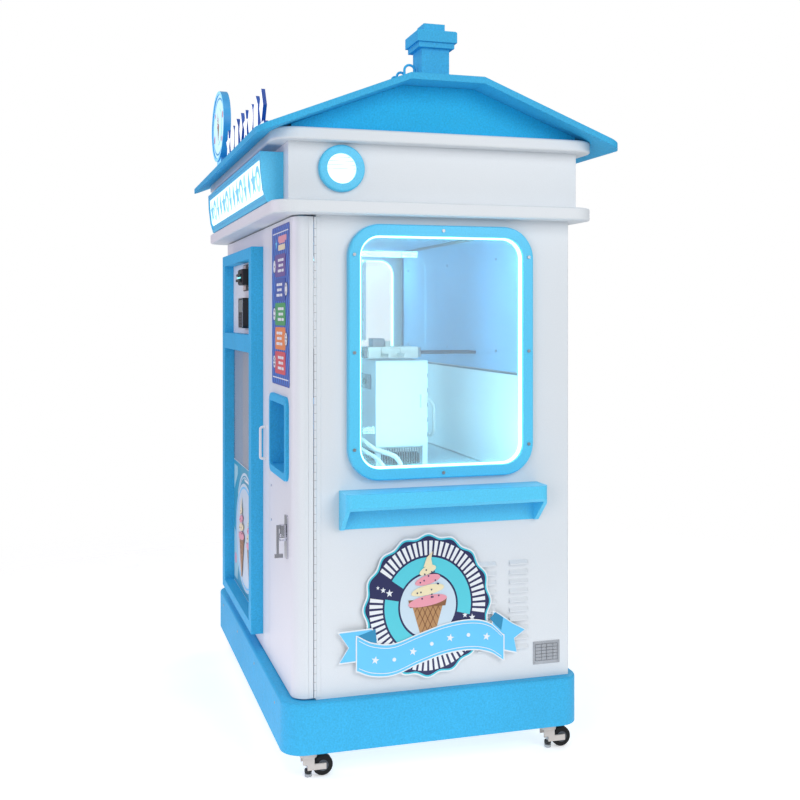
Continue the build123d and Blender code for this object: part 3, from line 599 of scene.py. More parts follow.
tailL = [(-0.315, 0.444), (-0.212, 0.448), (-0.196, 0.418), (-0.200, 0.362), (-0.259, 0.356), (-0.313, 0.354), (-0.284, 0.398)]
tailR = [(0.190, 0.470), (0.207, 0.463), (0.253, 0.430), (0.296, 0.407), (0.259, 0.383), (0.268, 0.338), (0.223, 0.350), (0.180, 0.372)]
grow = lambda pts, c: [(c[0] + (u - c[0]) * 1.07, c[1] + (v - c[1]) * 1.09) for u, v in pts]
plate("ribbon_tail_edge", [grow(tailL, (-0.25, 0.400)), grow(tailR, (0.235, 0.402))], "x", T0 - 0.0012, T0 - 0.0006, PR["white"])
plate("ribbon_tails", [tailL, tailR], "x", T0 - 0.0006, T0, PR["sky"])
plate("ribbon_folds", [[(-0.256, 0.432), (-0.200, 0.449), (-0.196, 0.405), (-0.225, 0.412)], [(0.176, 0.452), (0.196, 0.470), (0.222, 0.452), (0.215, 0.412), (0.196, 0.430)]], "x", T0, T0 + 0.0005, PR["sky_dark"])
band("ribbon_edge", 0.004, (-1, -0.004), (1, 0.004), T0 + 0.0006, PR["white"])
band("ribbon_band", 0.0, (-1, 0), (1, 0), T0 + 0.0012, PR["sky"])
band("ribbon_line_top", -0.006, (0.80, 0), (0.80, 0.002), T0 + 0.0018, PR["white"])
band("ribbon_line_low", -0.006, (-0.80, -0.002), (-0.80, 0), T0 + 0.0018, PR["white"])
rs = []
for k in range(7):
    t = 0.12 + 0.76 * k / 6
    u = -0.259 + 0.481 * t
    r = 0.013 if k % 2 == 0 else 0.0085
    rs.append(star(u, mid(t), r, r * 0.42, rot=0.2) if k % 2 == 0 else circ(u, mid(t), 0.006, 20))
plate("ribbon_stars", rs, "x", T0 + 0.0019, T0 + 0.0025, PR["white"])

# ------------------------------------------------------------------ poster on the door, with its own cone
PL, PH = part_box("poster_panel")
PY = PL.y
plate("poster_ground", [rrect(PL.x + 0.003, PH.x - 0.003, PL.z + 0.003, PH.z - 0.003, 0.006)], "y", PY, PY - 0.0008, PR["ground"], "main_door_leaf")
pcx, pcz = (PL.x + PH.x) / 2, (PL.z + PH.z) / 2 - 0.02
bands = []
for k in range(5):
    r = 0.205 + 0.0 * k
bd = [arcband(pcx, pcz + 0.01, 0.226, 0.236, 0.6, PI - 0.6, 40), arcband(pcx, pcz + 0.01, 0.216, 0.220, 0.5, PI - 0.5, 40)]
plate("poster_arches", bd, "y", PY - 0.0008, PY - 0.0014, PR["pale"], "main_door_leaf")
plate("poster_panelling", [[(PL.x + 0.02, PL.z + 0.02), (PL.x + 0.10, PL.z + 0.02), (PL.x + 0.16, PL.z + 0.16), (PL.x + 0.02, PL.z + 0.22)],
                           [(PH.x - 0.10, PL.z + 0.02), (PH.x - 0.02, PL.z + 0.02), (PH.x - 0.02, PL.z + 0.24), (PH.x - 0.15, PL.z + 0.13)],
                           [(PL.x + 0.02, PH.z - 0.12), (PL.x + 0.11, PH.z - 0.05), (PL.x + 0.11, PH.z - 0.02), (PL.x + 0.02, PH.z - 0.02)]], "y", PY - 0.0008, PY - 0.0013, PR["mint"], "main_door_leaf")
plate("poster_stroke", [[(pcx - 0.02, PH.z - 0.045), (PH.x - 0.02, PH.z - 0.045), (PH.x - 0.02, PH.z - 0.053), (pcx - 0.02, PH.z - 0.053)]], "y", PY - 0.0014, PY - 0.0019, PR["white"], "main_door_leaf")
plate("poster_petals", [circ(PL.x + 0.06, PL.z + 0.10, 0.022, 20), circ(PH.x - 0.07, PL.z + 0.07, 0.026, 20), circ(PH.x - 0.05, PL.z + 0.16, 0.015, 20)], "y", PY - 0.0014, PY - 0.0019, PR["pink"], "main_door_leaf")
plate("poster_oval", [[(pcx + 0.245 * math.cos(2 * PI * i / 64), pcz + 0.205 * math.sin(2 * PI * i / 64)) for i in range(64)]], "y", PY - 0.0014, PY - 0.0020, PR["pale"], "main_door_leaf")
ringplate("poster_oval_line", [(pcx + 0.232 * math.cos(2 * PI * i / 72), pcz + 0.193 * math.sin(2 * PI * i / 72)) for i in range(72)], [(pcx + 0.224 * math.cos(2 * PI * i / 72), pcz + 0.186 * math.sin(2 * PI * i / 72)) for i in range(72)], "y", PY - 0.0019, PY - 0.0024, PR["sky"], "main_door_leaf")
cone_motif("poster_motif_b", "y", pcx + 0.095, pcz - 0.012, 0.150, PY - 0.0020, "main_door_leaf", -1)
cone_motif("poster_motif_a", "y", pcx - 0.078, pcz - 0.004, 0.168, PY - 0.0046, "main_door_leaf", -1)

# ------------------------------------------------------------------ instruction strip: stripes, numbered blocks
SL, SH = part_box("instruction_strip")
SYF = SL.y
BODYC = "corner_door_leaf"
plate("strip_ground", [rrect(SL.x + 0.002, SH.x - 0.002, SL.z + 0.002, SH.z - 0.002, 0.013)], "y", SYF, SYF - 0.0006, PR["stripe_dark"], BODYC)
W_, H_ = SH.x - SL.x - 0.012, SH.z - SL.z - 0.012
sx0_, sz0_ = SL.x + 0.006, SL.z + 0.006
strips = []
step, wd = 0.034, 0.015
k = -40
while k < 40:
    c = k * step
    poly = []
    for (dx, dz) in ((0, 0), (W_, 0), (W_, H_), (0, H_)):
        pass
    clip = [(0.0, 0.0), (W_, 0.0), (W_, H_), (0.0, H_)]
    for sgn, off in ((1, c), (-1, c + wd)):
        out = []
        for i in range(len(clip)):
            a, b = clip[i], clip[(i + 1) % len(clip)]
            fa = sgn * (a[0] - 0.55 * a[1] - off)
            fb = sgn * (b[0] - 0.55 * b[1] - off)
            if fa >= 0:
                out.append(a)
            if fa * fb < 0:
                t = fa / (fa - fb)
                out.append((a[0] + (b[0] - a[0]) * t, a[1] + (b[1] - a[1]) * t))
        clip = out
        if len(clip) < 3:
            break
    if len(clip) >= 3:
        strips.append([(sx0_ + u, sz0_ + v) for u, v in clip])
    k += 1
plate("strip_stripes", strips, "y", SYF - 0.0006, SYF - 0.0010, PR["stripe"], BODYC)
plate("strip_lines", [rrect(SL.x + 0.022, SH.x - 0.022, SH.z - 0.026, SH.z - 0.0225, 0.0015, 3), rrect(SL.x + 0.022, SH.x - 0.022, SL.z + 0.0225, SL.z + 0.026, 0.0015, 3)], "y", SYF - 0.0010, SYF - 0.0014, PR["white"], BODYC)
plate("strip_head_a", [rrect(SL.x + 0.120, SH.x - 0.050, SH.z - 0.054, SH.z - 0.036, 0.006), rrect(SL.x + 0.135, SH.x - 0.075, SH.z - 0.0600, SH.z - 0.0540, 0.0025, 3)], "y", SYF - 0.0010, SYF - 0.0015, PR["pink"], BODYC)
plate("strip_head_b", [rrect(SL.x + 0.120, SH.x - 0.075, SH.z - 0.082, SH.z - 0.064, 0.006)], "y", SYF - 0.0010, SYF - 0.0015, PR["cream"], BODYC)
plate("strip_head_c", [star(SL.x + 0.085, SH.z - 0.060, 0.018, 0.008)], "y", SYF - 0.0010, SYF - 0.0015, PR["sky"], BODYC)
cols = ("purple", "stripe_dark", "green", "orange", "red")
nb = 5
bh = (SH.z - 0.094 - (SL.z + 0.032)) / nb
bx0, bx1 = SL.x + 0.066, SH.x - 0.066
for i in range(nb):
    z1 = SH.z - 0.094 - i * bh
    z0 = z1 - bh + 0.006
    plate("strip_block%d" % i, [rrect(bx0, bx1, z0, z1, 0.010)], "y", SYF - 0.0010, SYF - 0.0018, PR[cols[i]], BODYC)
    zc = (z0 + z1) / 2
    xm = (bx0 + bx1) / 2 + (0.012 if i % 2 == 0 else -0.012)
    bars = []
    for r_, (hw, dz) in enumerate(((0.050, 0.017), (0.040, 0.000), (0.052, -0.017))):
        cuts = (-1.0, -0.25 + 0.2 * r_, 0.30, 1.0)
        for a, b in zip(cuts, cuts[1:]):
            bars.append(rrect(xm + hw * a + 0.002, xm + hw * b - 0.002, zc + dz - 0.0045, zc + dz + 0.0045, 0.003, 4))
    plate("strip_bars%d" % i, bars, "y", SYF - 0.0018, SYF - 0.0022, PR["white"], BODYC)
    dx_ = bx0 - 0.012 if i % 2 == 0 else bx1 + 0.012
    plate("strip_dot_rim%d" % i, [circ(dx_, zc, 0.0225, 32)], "y", SYF - 0.0012, SYF - 0.0019, PR["navy"], BODYC)
    plate("strip_dot%d" % i, [circ(dx_, zc, 0.0200, 32)], "y", SYF - 0.0019, SYF - 0.0023, PR["white"], BODYC)
    pips = []
    for j_ in range(i + 1):
        a = 2 * PI * j_ / max(1, i + 1) + PI / 2
        rr = 0.0 if i == 0 else 0.0105
        pips.append(circ(dx_ + rr * math.cos(a), zc + rr * math.sin(a), 0.0038, 14))
    plate("strip_pips%d" % i, pips, "y", SYF - 0.0023, SYF - 0.0027, PR["navy"], BODYC)

# ------------------------------------------------------------------ striped hatch print
HL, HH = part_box("pickup_hatch")
hs_ = []
k = -30
while k < 30:
    c = k * 0.026
    clip = [(0.0, 0.0), (HH.x - HL.x - 0.008, 0.0), (HH.x - HL.x - 0.008, HH.z - HL.z - 0.008), (0.0, HH.z - HL.z - 0.008)]
    for sgn, off in ((1, c), (-1, c + 0.012)):
        out = []
        for i in range(len(clip)):
            a, b = clip[i], clip[(i + 1) % len(clip)]
            fa = sgn * (a[0] + 0.7 * a[1] - off)
            fb = sgn * (b[0] + 0.7 * b[1] - off)
            if fa >= 0:
                out.append(a)
            if fa * fb < 0:
                t = fa / (fa - fb)
                out.append((a[0] + (b[0] - a[0]) * t, a[1] + (b[1] - a[1]) * t))
        clip = out
        if len(clip) < 3:
            break
    if len(clip) >= 3:
        hs_.append([(HL.x + 0.004 + u, HL.z + 0.004 + v) for u, v in clip])
    k += 1
plate("hatch_stripes", hs_, "y", HL.y, HL.y - 0.0008, PR["stripe_dark"], "hatch")

# the badge prints are a little taller than wide, like the plate they sit on
for o in list(bpy.data.objects):
    if o.type == "MESH" and o.name.startswith(("badge_white_rim", "badge_teal_rim", "badge_navy", "badge_ticks", "badge_ring", "badge_disc", "badge_stars", "badge_motif")):
        for v in o.data.vertices:
            v.co.z = 0.508 + (v.co.z - 0.500) * 1.067

# ------------------------------------------------------------------ inside: liner walls, ceiling, screws
RW = 0.3250
M["liner"] = paint("liner_foil", lin(128, 176, 214), rough=0.40, grain=95, depth=0.0012, strength=0.55, vary=0.10, edge=0.0)
M["liner_white"] = paint("liner_white", lin(232, 240, 244), rough=0.32, grain=260, strength=0.2, vary=0.015)
boxes("liner_rear_low", [(-0.700, 0.712, RW, RW + 0.003, 0.8865, 1.222)], M["liner_white"], bevel=0.0006)
boxes("liner_rear_high", [(-0.700, 0.712, RW + 0.001, RW + 0.004, 1.2225, 1.698)], M["liner"], bevel=0.0006)
boxes("liner_ceiling", [(-0.700, 0.000, -0.415, RW + 0.004, 1.7005, 1.7035), (0.002, 0.712, -0.415, RW + 0.004, 1.7005, 1.7035)], M["liner"], bevel=0.0006)
boxes("liner_trim", [(-0.700, 0.712, RW - 0.0015, RW, 1.214, 1.2215), (-0.700, -0.690, RW - 0.006, RW, 1.2225, 1.698), (-0.700, 0.712, RW - 0.004, RW, 1.690, 1.700)], M["galv"], bevel=0.0004)


def screws(name, pts, axis, r, h, m, body="cabinet", slot=True):
    """Domed screw heads in one mesh; pts are head bases and the sign of h points outward."""
    bm = bmesh.new()
    prof = [(r, 0.0), (r * 0.98, 0.35), (r * 0.75, 0.8), (r * 0.42, 1.0), (r * 0.36, 0.72), (0.0001, 0.66)]
    for p in pts:
        rows = []
        for rr, a in prof:
            row = []
            for k in range(14):
                t = 2 * math.pi * k / 14
                c, s = rr * math.cos(t), rr * math.sin(t)
                q = {"x": (a * h, c, s), "y": (c, a * h, s), "z": (c, s, a * h)}[axis]
                row.append(bm.verts.new((p[0] + q[0], p[1] + q[1], p[2] + q[2])))
            rows.append(row)
        for i in range(len(rows) - 1):
            for k in range(14):
                bm.faces.new((rows[i][k], rows[i][(k + 1) % 14], rows[i + 1][(k + 1) % 14], rows[i + 1][k]))
        bm.faces.new(rows[-1])
        bm.faces.new(rows[0][::-1])
    bmesh.ops.recalc_face_normals(bm, faces=bm.faces)
    me = bpy.data.meshes.new(name)
    bm.to_mesh(me)
    bm.free()
    for pl in me.polygons:
        pl.use_smooth = True
    me.materials.append(m)
    o = bpy.data.objects.new(name, me)
    bpy.context.scene.collection.objects.link(o)
    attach(o, body)
    return o


screws("liner_screws", [(x, RW + 0.001, z) for x in (-0.62, -0.10, 0.42, 0.66) for z in (1.29, 1.61)], "y", 0.005, -0.003, M["galv"])

# freezing box: lock plate, hinge leaves, base, coil fins and drain hoses
boxes("lock_plate", [(0.088, 0.238, -0.0785, -0.0762, 1.150, 1.204)], M["galv"], bevel=0.0012)
lathe("lock_boss", [(0.0001, 0.0), (0.013, 0.0), (0.014, 0.003), (0.010, 0.006), (0.006, 0.006), (0.005, 0.003), (0.0001, 0.003)], "y", (0.165, -0.0835, 1.177), M["black"])
screws("lock_screws", [(x, -0.0785, z) for x in (0.096, 0.230) for z in (1.157, 1.197)], "y", 0.0035, -0.002, M["steel"])
boxes("box_hinge_marks", [(0.2985, 0.3035, 0.1116, 0.1136, 0.985 + i * 0.052, 1.001 + i * 0.052) for i in range(5)], M["black"], bevel=0.0003)
boxes("box_plinth_dark", [(0.086, 0.276, -0.050, 0.090, 0.888, 0.926)], M["black"], bevel=0.003)
boxes("box_coil_fins", [(0.282, 0.290, -0.050 + i * 0.009, -0.0472 + i * 0.009, 0.892, 0.946) for i in range(16)], M["galv"], bevel=0.0)
tube("drain_hose_a", [(0.215, -0.150, 0.990), (0.270, -0.125, 0.985), (0.312, -0.085, 0.945), (0.330, -0.040, 0.934), (0.340, -0.006, 0.918), (0.342, 0.004, 0.886)], 0.0085, M["hose"])
tube("drain_hose_b", [(0.205, -0.165, 0.955), (0.265, -0.150, 0.962), (0.315, -0.110, 0.936), (0.345, -0.075, 0.914), (0.356, -0.060, 0.886)], 0.0070, M["hose"])
tube("drain_hose_c", [(0.215, -0.150, 0.990), (0.190, -0.160, 0.975), (0.186, -0.165, 0.930), (0.186, -0.165, 0.886)], 0.0085, M["hose"])

# carriage caps
boxes("carriage_motor_can", [(0.1585, 0.2155, -0.0655, -0.0205, 1.3025, 1.3315)], M["galv"], "gantry_carriage", bevel=0.002)
boxes("carriage_end_caps", [(0.1385, 0.2475, -0.1052, -0.0935, 1.2645, 1.2995), (0.1385, 0.2475, 0.0935, 0.1052, 1.2645, 1.2995)], M["galv"], "gantry_carriage", bevel=0.0015)

# ------------------------------------------------------------------ roof shapes and medallion: white faces, blue returns; the medallion's returns are a darker copy of its face blue (painted shade), and all faces glow at half strength (painted light)
m_, nt, p = mat("roof_shape_paint")
co = coords(nt)
geo = nt.nodes.new("ShaderNodeNewGeometry")
sn = nt.nodes.new("ShaderNodeSeparateXYZ")
nt.links.new(geo.outputs["True Normal"], sn.inputs[0])
ab = node(nt, "ShaderNodeMath", operation="ABSOLUTE")
nt.links.new(sn.outputs[1], ab.inputs[0])
gt = node(nt, "ShaderNodeMath", operation="GREATER_THAN")
gt.inputs[1].default_value = 0.7
nt.links.new(ab.outputs[0], gt.inputs[0])
so = nt.nodes.new("ShaderNodeSeparateXYZ")
nt.links.new(co, so.inputs[0])
lt = node(nt, "ShaderNodeMath", operation="LESS_THAN")
lt.inputs[1].default_value = -0.190
nt.links.new(so.outputs[0], lt.inputs[0])
nz = node(nt, "ShaderNodeTexNoise", Scale=9.0, Detail=3.0, Roughness=0.5)
nt.links.new(co, nz.inputs["Vector"])
cs_side = ramp(nt, nz.outputs[0], [(0.3, lin(22, 66, 150)), (0.7, lin(34, 92, 182))])
cs_face = ramp(nt, nz.outputs[0], [(0.3, lin(240, 250, 255)), (0.7, lin(252, 254, 255))])
# The medallion's face and return colours are one blue in a lighter and a darker copy: painted light on the face,
# painted shade on the returns.
medal_return_painted_shade = ramp(nt, nz.outputs[0], [(0.3, lin(48, 150, 214)), (0.7, lin(74, 178, 232))])
medal_face_painted_light = ramp(nt, nz.outputs[0], [(0.3, lin(120, 206, 244)), (0.7, lin(150, 220, 248))])


def mixc(fac, a, b):
    x = nt.nodes.new("ShaderNodeMix")
    x.data_type = "RGBA"
    nt.links.new(fac, x.inputs["Factor"])
    nt.links.new(a, x.inputs["A"])
    nt.links.new(b, x.inputs["B"])
    return x.outputs["Result"]


shp = mixc(gt.outputs[0], cs_side, cs_face)
med_c = mixc(gt.outputs[0], medal_return_painted_shade, medal_face_painted_light)
allc = mixc(lt.outputs[0], shp, med_c)
nt.links.new(allc, p.inputs["Base Color"])
nt.links.new(allc, p.inputs["Emission Color"])
# Faces that look along Y glow at half strength although the shapes are no lamp: painted light.
es = node(nt, "ShaderNodeMath", operation="MULTIPLY")
es.inputs[1].default_value = 0.5
nt.links.new(gt.outputs[0], es.inputs[0])
nt.links.new(es.outputs[0], p.inputs["Emission Strength"])
p.inputs["Roughness"].default_value = 0.35
bump(nt, p, nz.outputs[0], 0.1, 0.0004, 0.001)
for part in [NODES["roof_ornaments"]] + [c for c in NODES["roof_ornaments"].children_recursive if c.type == "MESH"]:
    if part.type == "MESH":
        for i in range(len(part.material_slots)):
            part.material_slots[i].material = m_

MX, MZ = -0.385, 2.163


def ell(a, b, n=72, t0=0.0, t1=2 * math.pi, closed=True):
    k = n if closed else n + 1
    return [(MX + a * math.cos(t0 + (t1 - t0) * i / n), MZ + b * math.sin(t0 + (t1 - t0) * i / n)) for i in range(k)]


# The medallion's face and disc prints glow faintly although the medallion is no lamp: painted light.
PR["medal"] = glow("print_medal", lin(196, 238, 252), 0.55)
ringplate("medal_face", ell(0.1725, 0.1245), ell(0.0965, 0.0705), "y", -0.5342, -0.5350, PR["medal"])
ringplate("medal_ring", ell(0.160, 0.113), ell(0.152, 0.105), "y", -0.5352, -0.5358, PR["sky"])
plate("medal_disc", [ell(0.0955, 0.0695)], "y", -0.5361, -0.5366, PR["medal"])
plate("medal_petals", [circ(MX - 0.120, MZ - 0.035, 0.016, 20), circ(MX + 0.118, MZ + 0.030, 0.014, 20), circ(MX - 0.098, MZ + 0.058, 0.010, 20), circ(MX + 0.095, MZ - 0.060, 0.012, 20)], "y", -0.5352, -0.5358, PR["pink"])
cone_motif("medal_motif", "y", MX, MZ + 0.004, 0.062, -0.5367, "cabinet", -1)

# ------------------------------------------------------------------ sign face: rim and a row of plain shapes wrapped on the curved front
SP = [(1.7713, -0.521), (1.800, -0.532), (1.860, -0.539), (1.9047, -0.541)]


def sign_y(z):
    z = min(max(z, SP[0][0]), SP[-1][0])
    for (z0, y0), (z1, y1) in zip(SP, SP[1:]):
        if z <= z1:
            return y0 + (y1 - y0) * (z - z0) / (z1 - z0)
    return SP[-1][1]


def wrap(o):
    bm = bmesh.new()
    bm.from_mesh(o.data)
    for zz in (1.800, 1.860):
        bmesh.ops.bisect_plane(bm, geom=list(bm.verts) + list(bm.edges) + list(bm.faces), plane_co=(0, 0, zz), plane_no=(0, 0, 1))
    for v in bm.verts:
        v.co.y += sign_y(v.co.z)
    bmesh.ops.recalc_face_normals(bm, faces=bm.faces)
    bm.to_mesh(o.data)
    bm.free()
    return o


x0s, x1s, z0s, z1s = -0.6395, 0.6595, 1.7720, 1.9044
outer = rrect(x0s, x1s, z0s, z1s, 0.004, 6)
inner = rrect(x0s + 0.016, x1s - 0.016, z0s + 0.014, z1s - 0.012, 0.010, 6)
wrap(ringplate("sign_rim", outer, inner, "y", -0.0022, -0.0002, M["frame_blue"]))
# The sign's printed shapes glow faintly although the sign face is plain paint with no lamp: painted light.
PR["signblue"] = glow("print_signblue", lin(112, 194, 246), 0.55)
PR["signpale"] = glow("print_signpale", lin(160, 218, 250), 0.65)
big, small = [], []
for i in range(14):
    cx_ = x0s + 0.075 + i * (x1s - x0s - 0.15) / 13
    zc = (z0s + z1s) / 2 + 0.002
    k = i % 4
    if k == 0:
        big.append(star(cx_, zc, 0.046, 0.021))
    elif k == 1:
        big.append(arcband(cx_, zc, 0.022, 0.041, 0.0, math.pi, 18))
        small.append(arcband(cx_, zc, 0.022, 0.041, math.pi, 2 * math.pi, 18))
    elif k == 2:
        big.append([(cx_ - 0.028, zc + 0.004), (cx_ + 0.028, zc + 0.004), (cx_, zc - 0.046)])
        small.append(circ(cx_, zc + 0.023, 0.023, 20))
    else:
        big.append([(cx_, zc - 0.044), (cx_ + 0.025, zc), (cx_, zc + 0.044), (cx_ - 0.025, zc)])
wrap(plate("sign_shapes", big, "y", -0.0012, -0.0003, PR["signblue"]))
wrap(plate("sign_shapes_pale", small, "y", -0.0012, -0.0003, PR["signpale"]))

# ------------------------------------------------------------------ lamp lens ribs
ribs = []
for i in range(-3, 4):
    zz = 1.860 + i * 0.0115
    hw = math.sqrt(max(0.0, 0.0435 ** 2 - (i * 0.0115) ** 2))
    ribs.append((0.7515, 0.7535, -0.310 - hw, -0.310 + hw, zz - 0.0012, zz + 0.0012))
PR["rib"] = glow("lens_rib", lin(184, 212, 230), 0.35)
boxes("lamp_ribs", ribs[3:], PR["rib"], bevel=0.0004)

# ------------------------------------------------------------------ piano-hinge knuckle joints
kn = []
bm = bmesh.new()
z = 0.275
while z < 1.700:
    r = bmesh.ops.create_cone(bm, cap_ends=True, segments=14, radius1=0.0039, radius2=0.0039, depth=0.0011)
    bmesh.ops.translate(bm, vec=(0.731, -0.387, z), verts=r["verts"])
    z += 0.0255
me = bpy.data.meshes.new("hinge_joints")
bm.to_mesh(me)
bm.free()
M["joint_grey"] = paint("hinge_joint_grey", lin(168, 168, 168), rough=0.5, grain=900, vary=0.15)
me.materials.append(M["joint_grey"])
o = bpy.data.objects.new("hinge_joints", me)
bpy.context.scene.collection.objects.link(o)
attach(o, "cabinet")

# ------------------------------------------------------------------ window gasket lines
for sx, tag in ((1, "right"), (-1, "left")):
    a = rrect(-0.2905, 0.3255, 0.9025, 1.6985, 0.1035, 12)
    b = rrect(-0.2868, 0.3218, 0.9062, 1.6948, 0.0998, 12)
    ringplate("gasket_" + tag, a, b, "x", sx * 0.7282, sx * 0.7296, PR["pale"])
    ia = rrect(-0.2518, 0.2868, 0.9412, 1.6598, 0.0648, 12)
    ib = rrect(-0.2470, 0.2820, 0.9460, 1.6550, 0.0600, 12)
    ringplate("pane_seal_" + tag, ia, ib, "x", sx * 0.7215, sx * 0.7265, M["led"])

# ------------------------------------------------------------------ name plate engraving (plain grid, no lettering)
g = []
for i in range(6):
    zz = 0.298 + i * 0.0105
    g.append((0.7309, 0.73125, 0.3385, 0.4165, zz, zz + 0.0006))
for i, yy in enumerate((0.3385, 0.3600, 0.3775, 0.4000, 0.4159)):
    g.append((0.7309, 0.73125, yy, yy + 0.0006, 0.298, 0.3511))
M["engrave"] = paint("engraved_grey", lin(84, 88, 94), rough=0.6, grain=900, vary=0.2)
boxes("name_grid", g, M["engrave"], bevel=0.0)

# ------------------------------------------------------------------ payment details
DL = "main_door_leaf"
boxes("bill_cream_plate", [(-0.2120, -0.1450, -0.4642, -0.4629, 1.510, 1.6035)], M["cream"], DL, bevel=0.0008)
PR["slot_glow"] = glow("slot_glow", lin(120, 226, 232), 1.2)
plate("bill_slot_light", [rrect(-0.178, -0.102, 1.5525, 1.5580, 0.0024, 4)], "y", -0.4900, -0.4912, PR["slot_glow"], DL)
boxes("bill_snout_lips", [(-0.186, -0.094, -0.4945, -0.4898, 1.5610, 1.5700), (-0.186, -0.094, -0.4965, -0.4898, 1.5400, 1.5505)], M["black"], DL, bevel=0.0016)
screws("bill_screws", [(x, -0.4632, z) for x in (-0.206, -0.074) for z in (1.517, 1.597)], "y", 0.0036, -0.0022, M["steel"], DL)
M["screen"] = paint("terminal_screen", lin(30, 44, 62), rough=0.08, grain=200, strength=0.02, vary=0.1, coat=0.6, edge=0.0)
plate("terminal_screen", [rrect(-0.181, -0.099, 1.4260, 1.4720, 0.004, 5)], "y", -0.4840, -0.4850, M["screen"], DL)
keys = [(-0.178 + c * 0.0285, -0.178 + c * 0.0285 + 0.0215, -0.4868, -0.4838, 1.4080 - r * 0.0115, 1.4160 - r * 0.0115) for c in range(3) for r in range(4)]
M["keygrey"] = paint("key_grey", lin(70, 74, 82), rough=0.5, grain=800, vary=0.08)
boxes("terminal_keys", keys, M["keygrey"], DL, bevel=0.0012)
ringplate("terminal_bezel", rrect(-0.1900, -0.0900, 1.3662, 1.4798, 0.008, 6), rrect(-0.1868, -0.0932, 1.3694, 1.4766, 0.006, 6), "y", -0.4838, -0.4858, M["steel"], DL)

# ------------------------------------------------------------------ casters: treads, hubs, adjuster rings
for cn, sx, sy in (("front_right", 1, -1), ("front_left", -1, -1), ("rear_right", 1, 1), ("rear_left", -1, 1)):
    lo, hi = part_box("caster_wheel_" + cn)
    cyw, czw = (lo.y + hi.y) / 2, (lo.z + hi.z) / 2
    R = (hi.z - lo.z) / 2
    bm = bmesh.new()
    for k in range(36):
        t = 2 * math.pi * k / 36
        r = bmesh.ops.create_cube(bm, size=1.0)
        bmesh.ops.scale(bm, vec=(hi.x - lo.x - 0.0085, 0.0016, 0.0024), verts=r["verts"])
        bmesh.ops.translate(bm, vec=(0, R - 0.0004, 0), verts=r["verts"])
        bmesh.ops.rotate(bm, cent=(0, 0, 0), matrix=Matrix.Rotation(t, 3, "X"), verts=r["verts"])
    bmesh.ops.translate(bm, vec=((lo.x + hi.x) / 2, cyw, czw), verts=bm.verts)
    me = bpy.data.meshes.new("tread_" + cn)
    bm.to_mesh(me)
    bm.free()
    me.materials.append(M["rubber"])
    o = bpy.data.objects.new("tread_" + cn, me)
    bpy.context.scene.collection.objects.link(o)
    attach(o, "wheel_%s_body" % cn)
    for side, xx, d in (("out", hi.x, 0.0016), ("in", lo.x, -0.0016)):
        lathe("hub_%s_%s" % (cn, side), [(0.0001, 0.0), (0.0165, 0.0), (0.0172, d * 0.5), (0.0150, d), (0.0001, d)], "x", (xx - d * 0.4, cyw, czw), M["keygrey"], "wheel_%s_body" % cn, 28)
    px, py = sx * 0.690, sy * 0.400
    lathe("adjuster_" + cn, [(0.0052, 0.0), (0.0108, 0.0), (0.0114, 0.002), (0.0114, 0.009), (0.0108, 0.011), (0.0052, 0.011)], "z", (px, py, 0.0115), M["black"], "cabinet", 28)

# ------------------------------------------------------------------ rear panel: screw rows and pressed vents
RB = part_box("rear_panel")
yb = RB[1].y
pts = [(x, yb - 0.0002, z) for x in (RB[0].x + 0.02, RB[1].x - 0.02) for z in [0.30 + i * 0.1985 for i in range(8)]]
pts += [(RB[0].x + 0.02 + i * (RB[1].x - RB[0].x - 0.04) / 8, yb - 0.0002, z) for i in range(1, 8) for z in (0.30, 1.6895)]
screws("rear_screws", pts, "y", 0.0055, 0.003, M["steel"])


def hoods(name, cells, yface, depth, m, body="cabinet"):
    """Pressed vent hoods on the rear sheet: half-round scoops in one mesh."""
    bm = bmesh.new()
    for x0, x1, zb, h in cells:
        n = 7
        rows = []
        for i in range(n + 1):
            t = i / n
            y = yface + depth * math.sin(math.pi * 0.5 * t)
            z = zb + h * (1 - t)
            e = 0.006 * (1 - t) ** 2
            rows.append([bm.verts.new((x0 + 0.008 * (1 - t) + e, y if 0 else yface, z)), bm.verts.new((x0 + 0.010, y, z)), bm.verts.new((x1 - 0.010, y, z)), bm.verts.new((x1 - 0.008 * (1 - t) - e, yface, z))])
        for a, b in zip(rows, rows[1:]):
            for k in range(3):
                bm.faces.new((a[k], a[k + 1], b[k + 1], b[k]))
        bm.faces.new(rows[-1])
        back = [rows[0][0], rows[0][3], rows[-1][3], rows[-1][0]]
    bmesh.ops.recalc_face_normals(bm, faces=bm.faces)
    me = bpy.data.meshes.new(name)
    bm.to_mesh(me)
    bm.free()
    for pl in me.polygons:
        pl.use_smooth = True
    me.materials.append(m)
    o = bpy.data.objects.new(name, me)
    bpy.context.scene.collection.objects.link(o)
    s = o.modifiers.new("sheet", "SOLIDIFY")
    s.thickness = 0.001
    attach(o, body)
    return o


hoods("rear_vents", [(-0.10 + c * 0.16, 0.02 + c * 0.16, 0.40 + r * 0.030, 0.014) for c in (0, 1, 2) for r in range(9)], yb + 0.0003, 0.009, M["white"])
ringplate("rear_hatch_trim", rrect(-0.55, 0.55, 0.93, 1.62, 0.02, 6), rrect(-0.544, 0.544, 0.936, 1.614, 0.016, 6), "y", yb, yb + 0.0012, M["board"])
screws("rear_hatch_screws", [(x, yb + 0.0004, z) for x in (-0.52, 0.0, 0.52) for z in (0.96, 1.59)] + [(x, yb + 0.0004, 1.275) for x in (-0.52, 0.52)], "y", 0.005, 0.003, M["steel"])

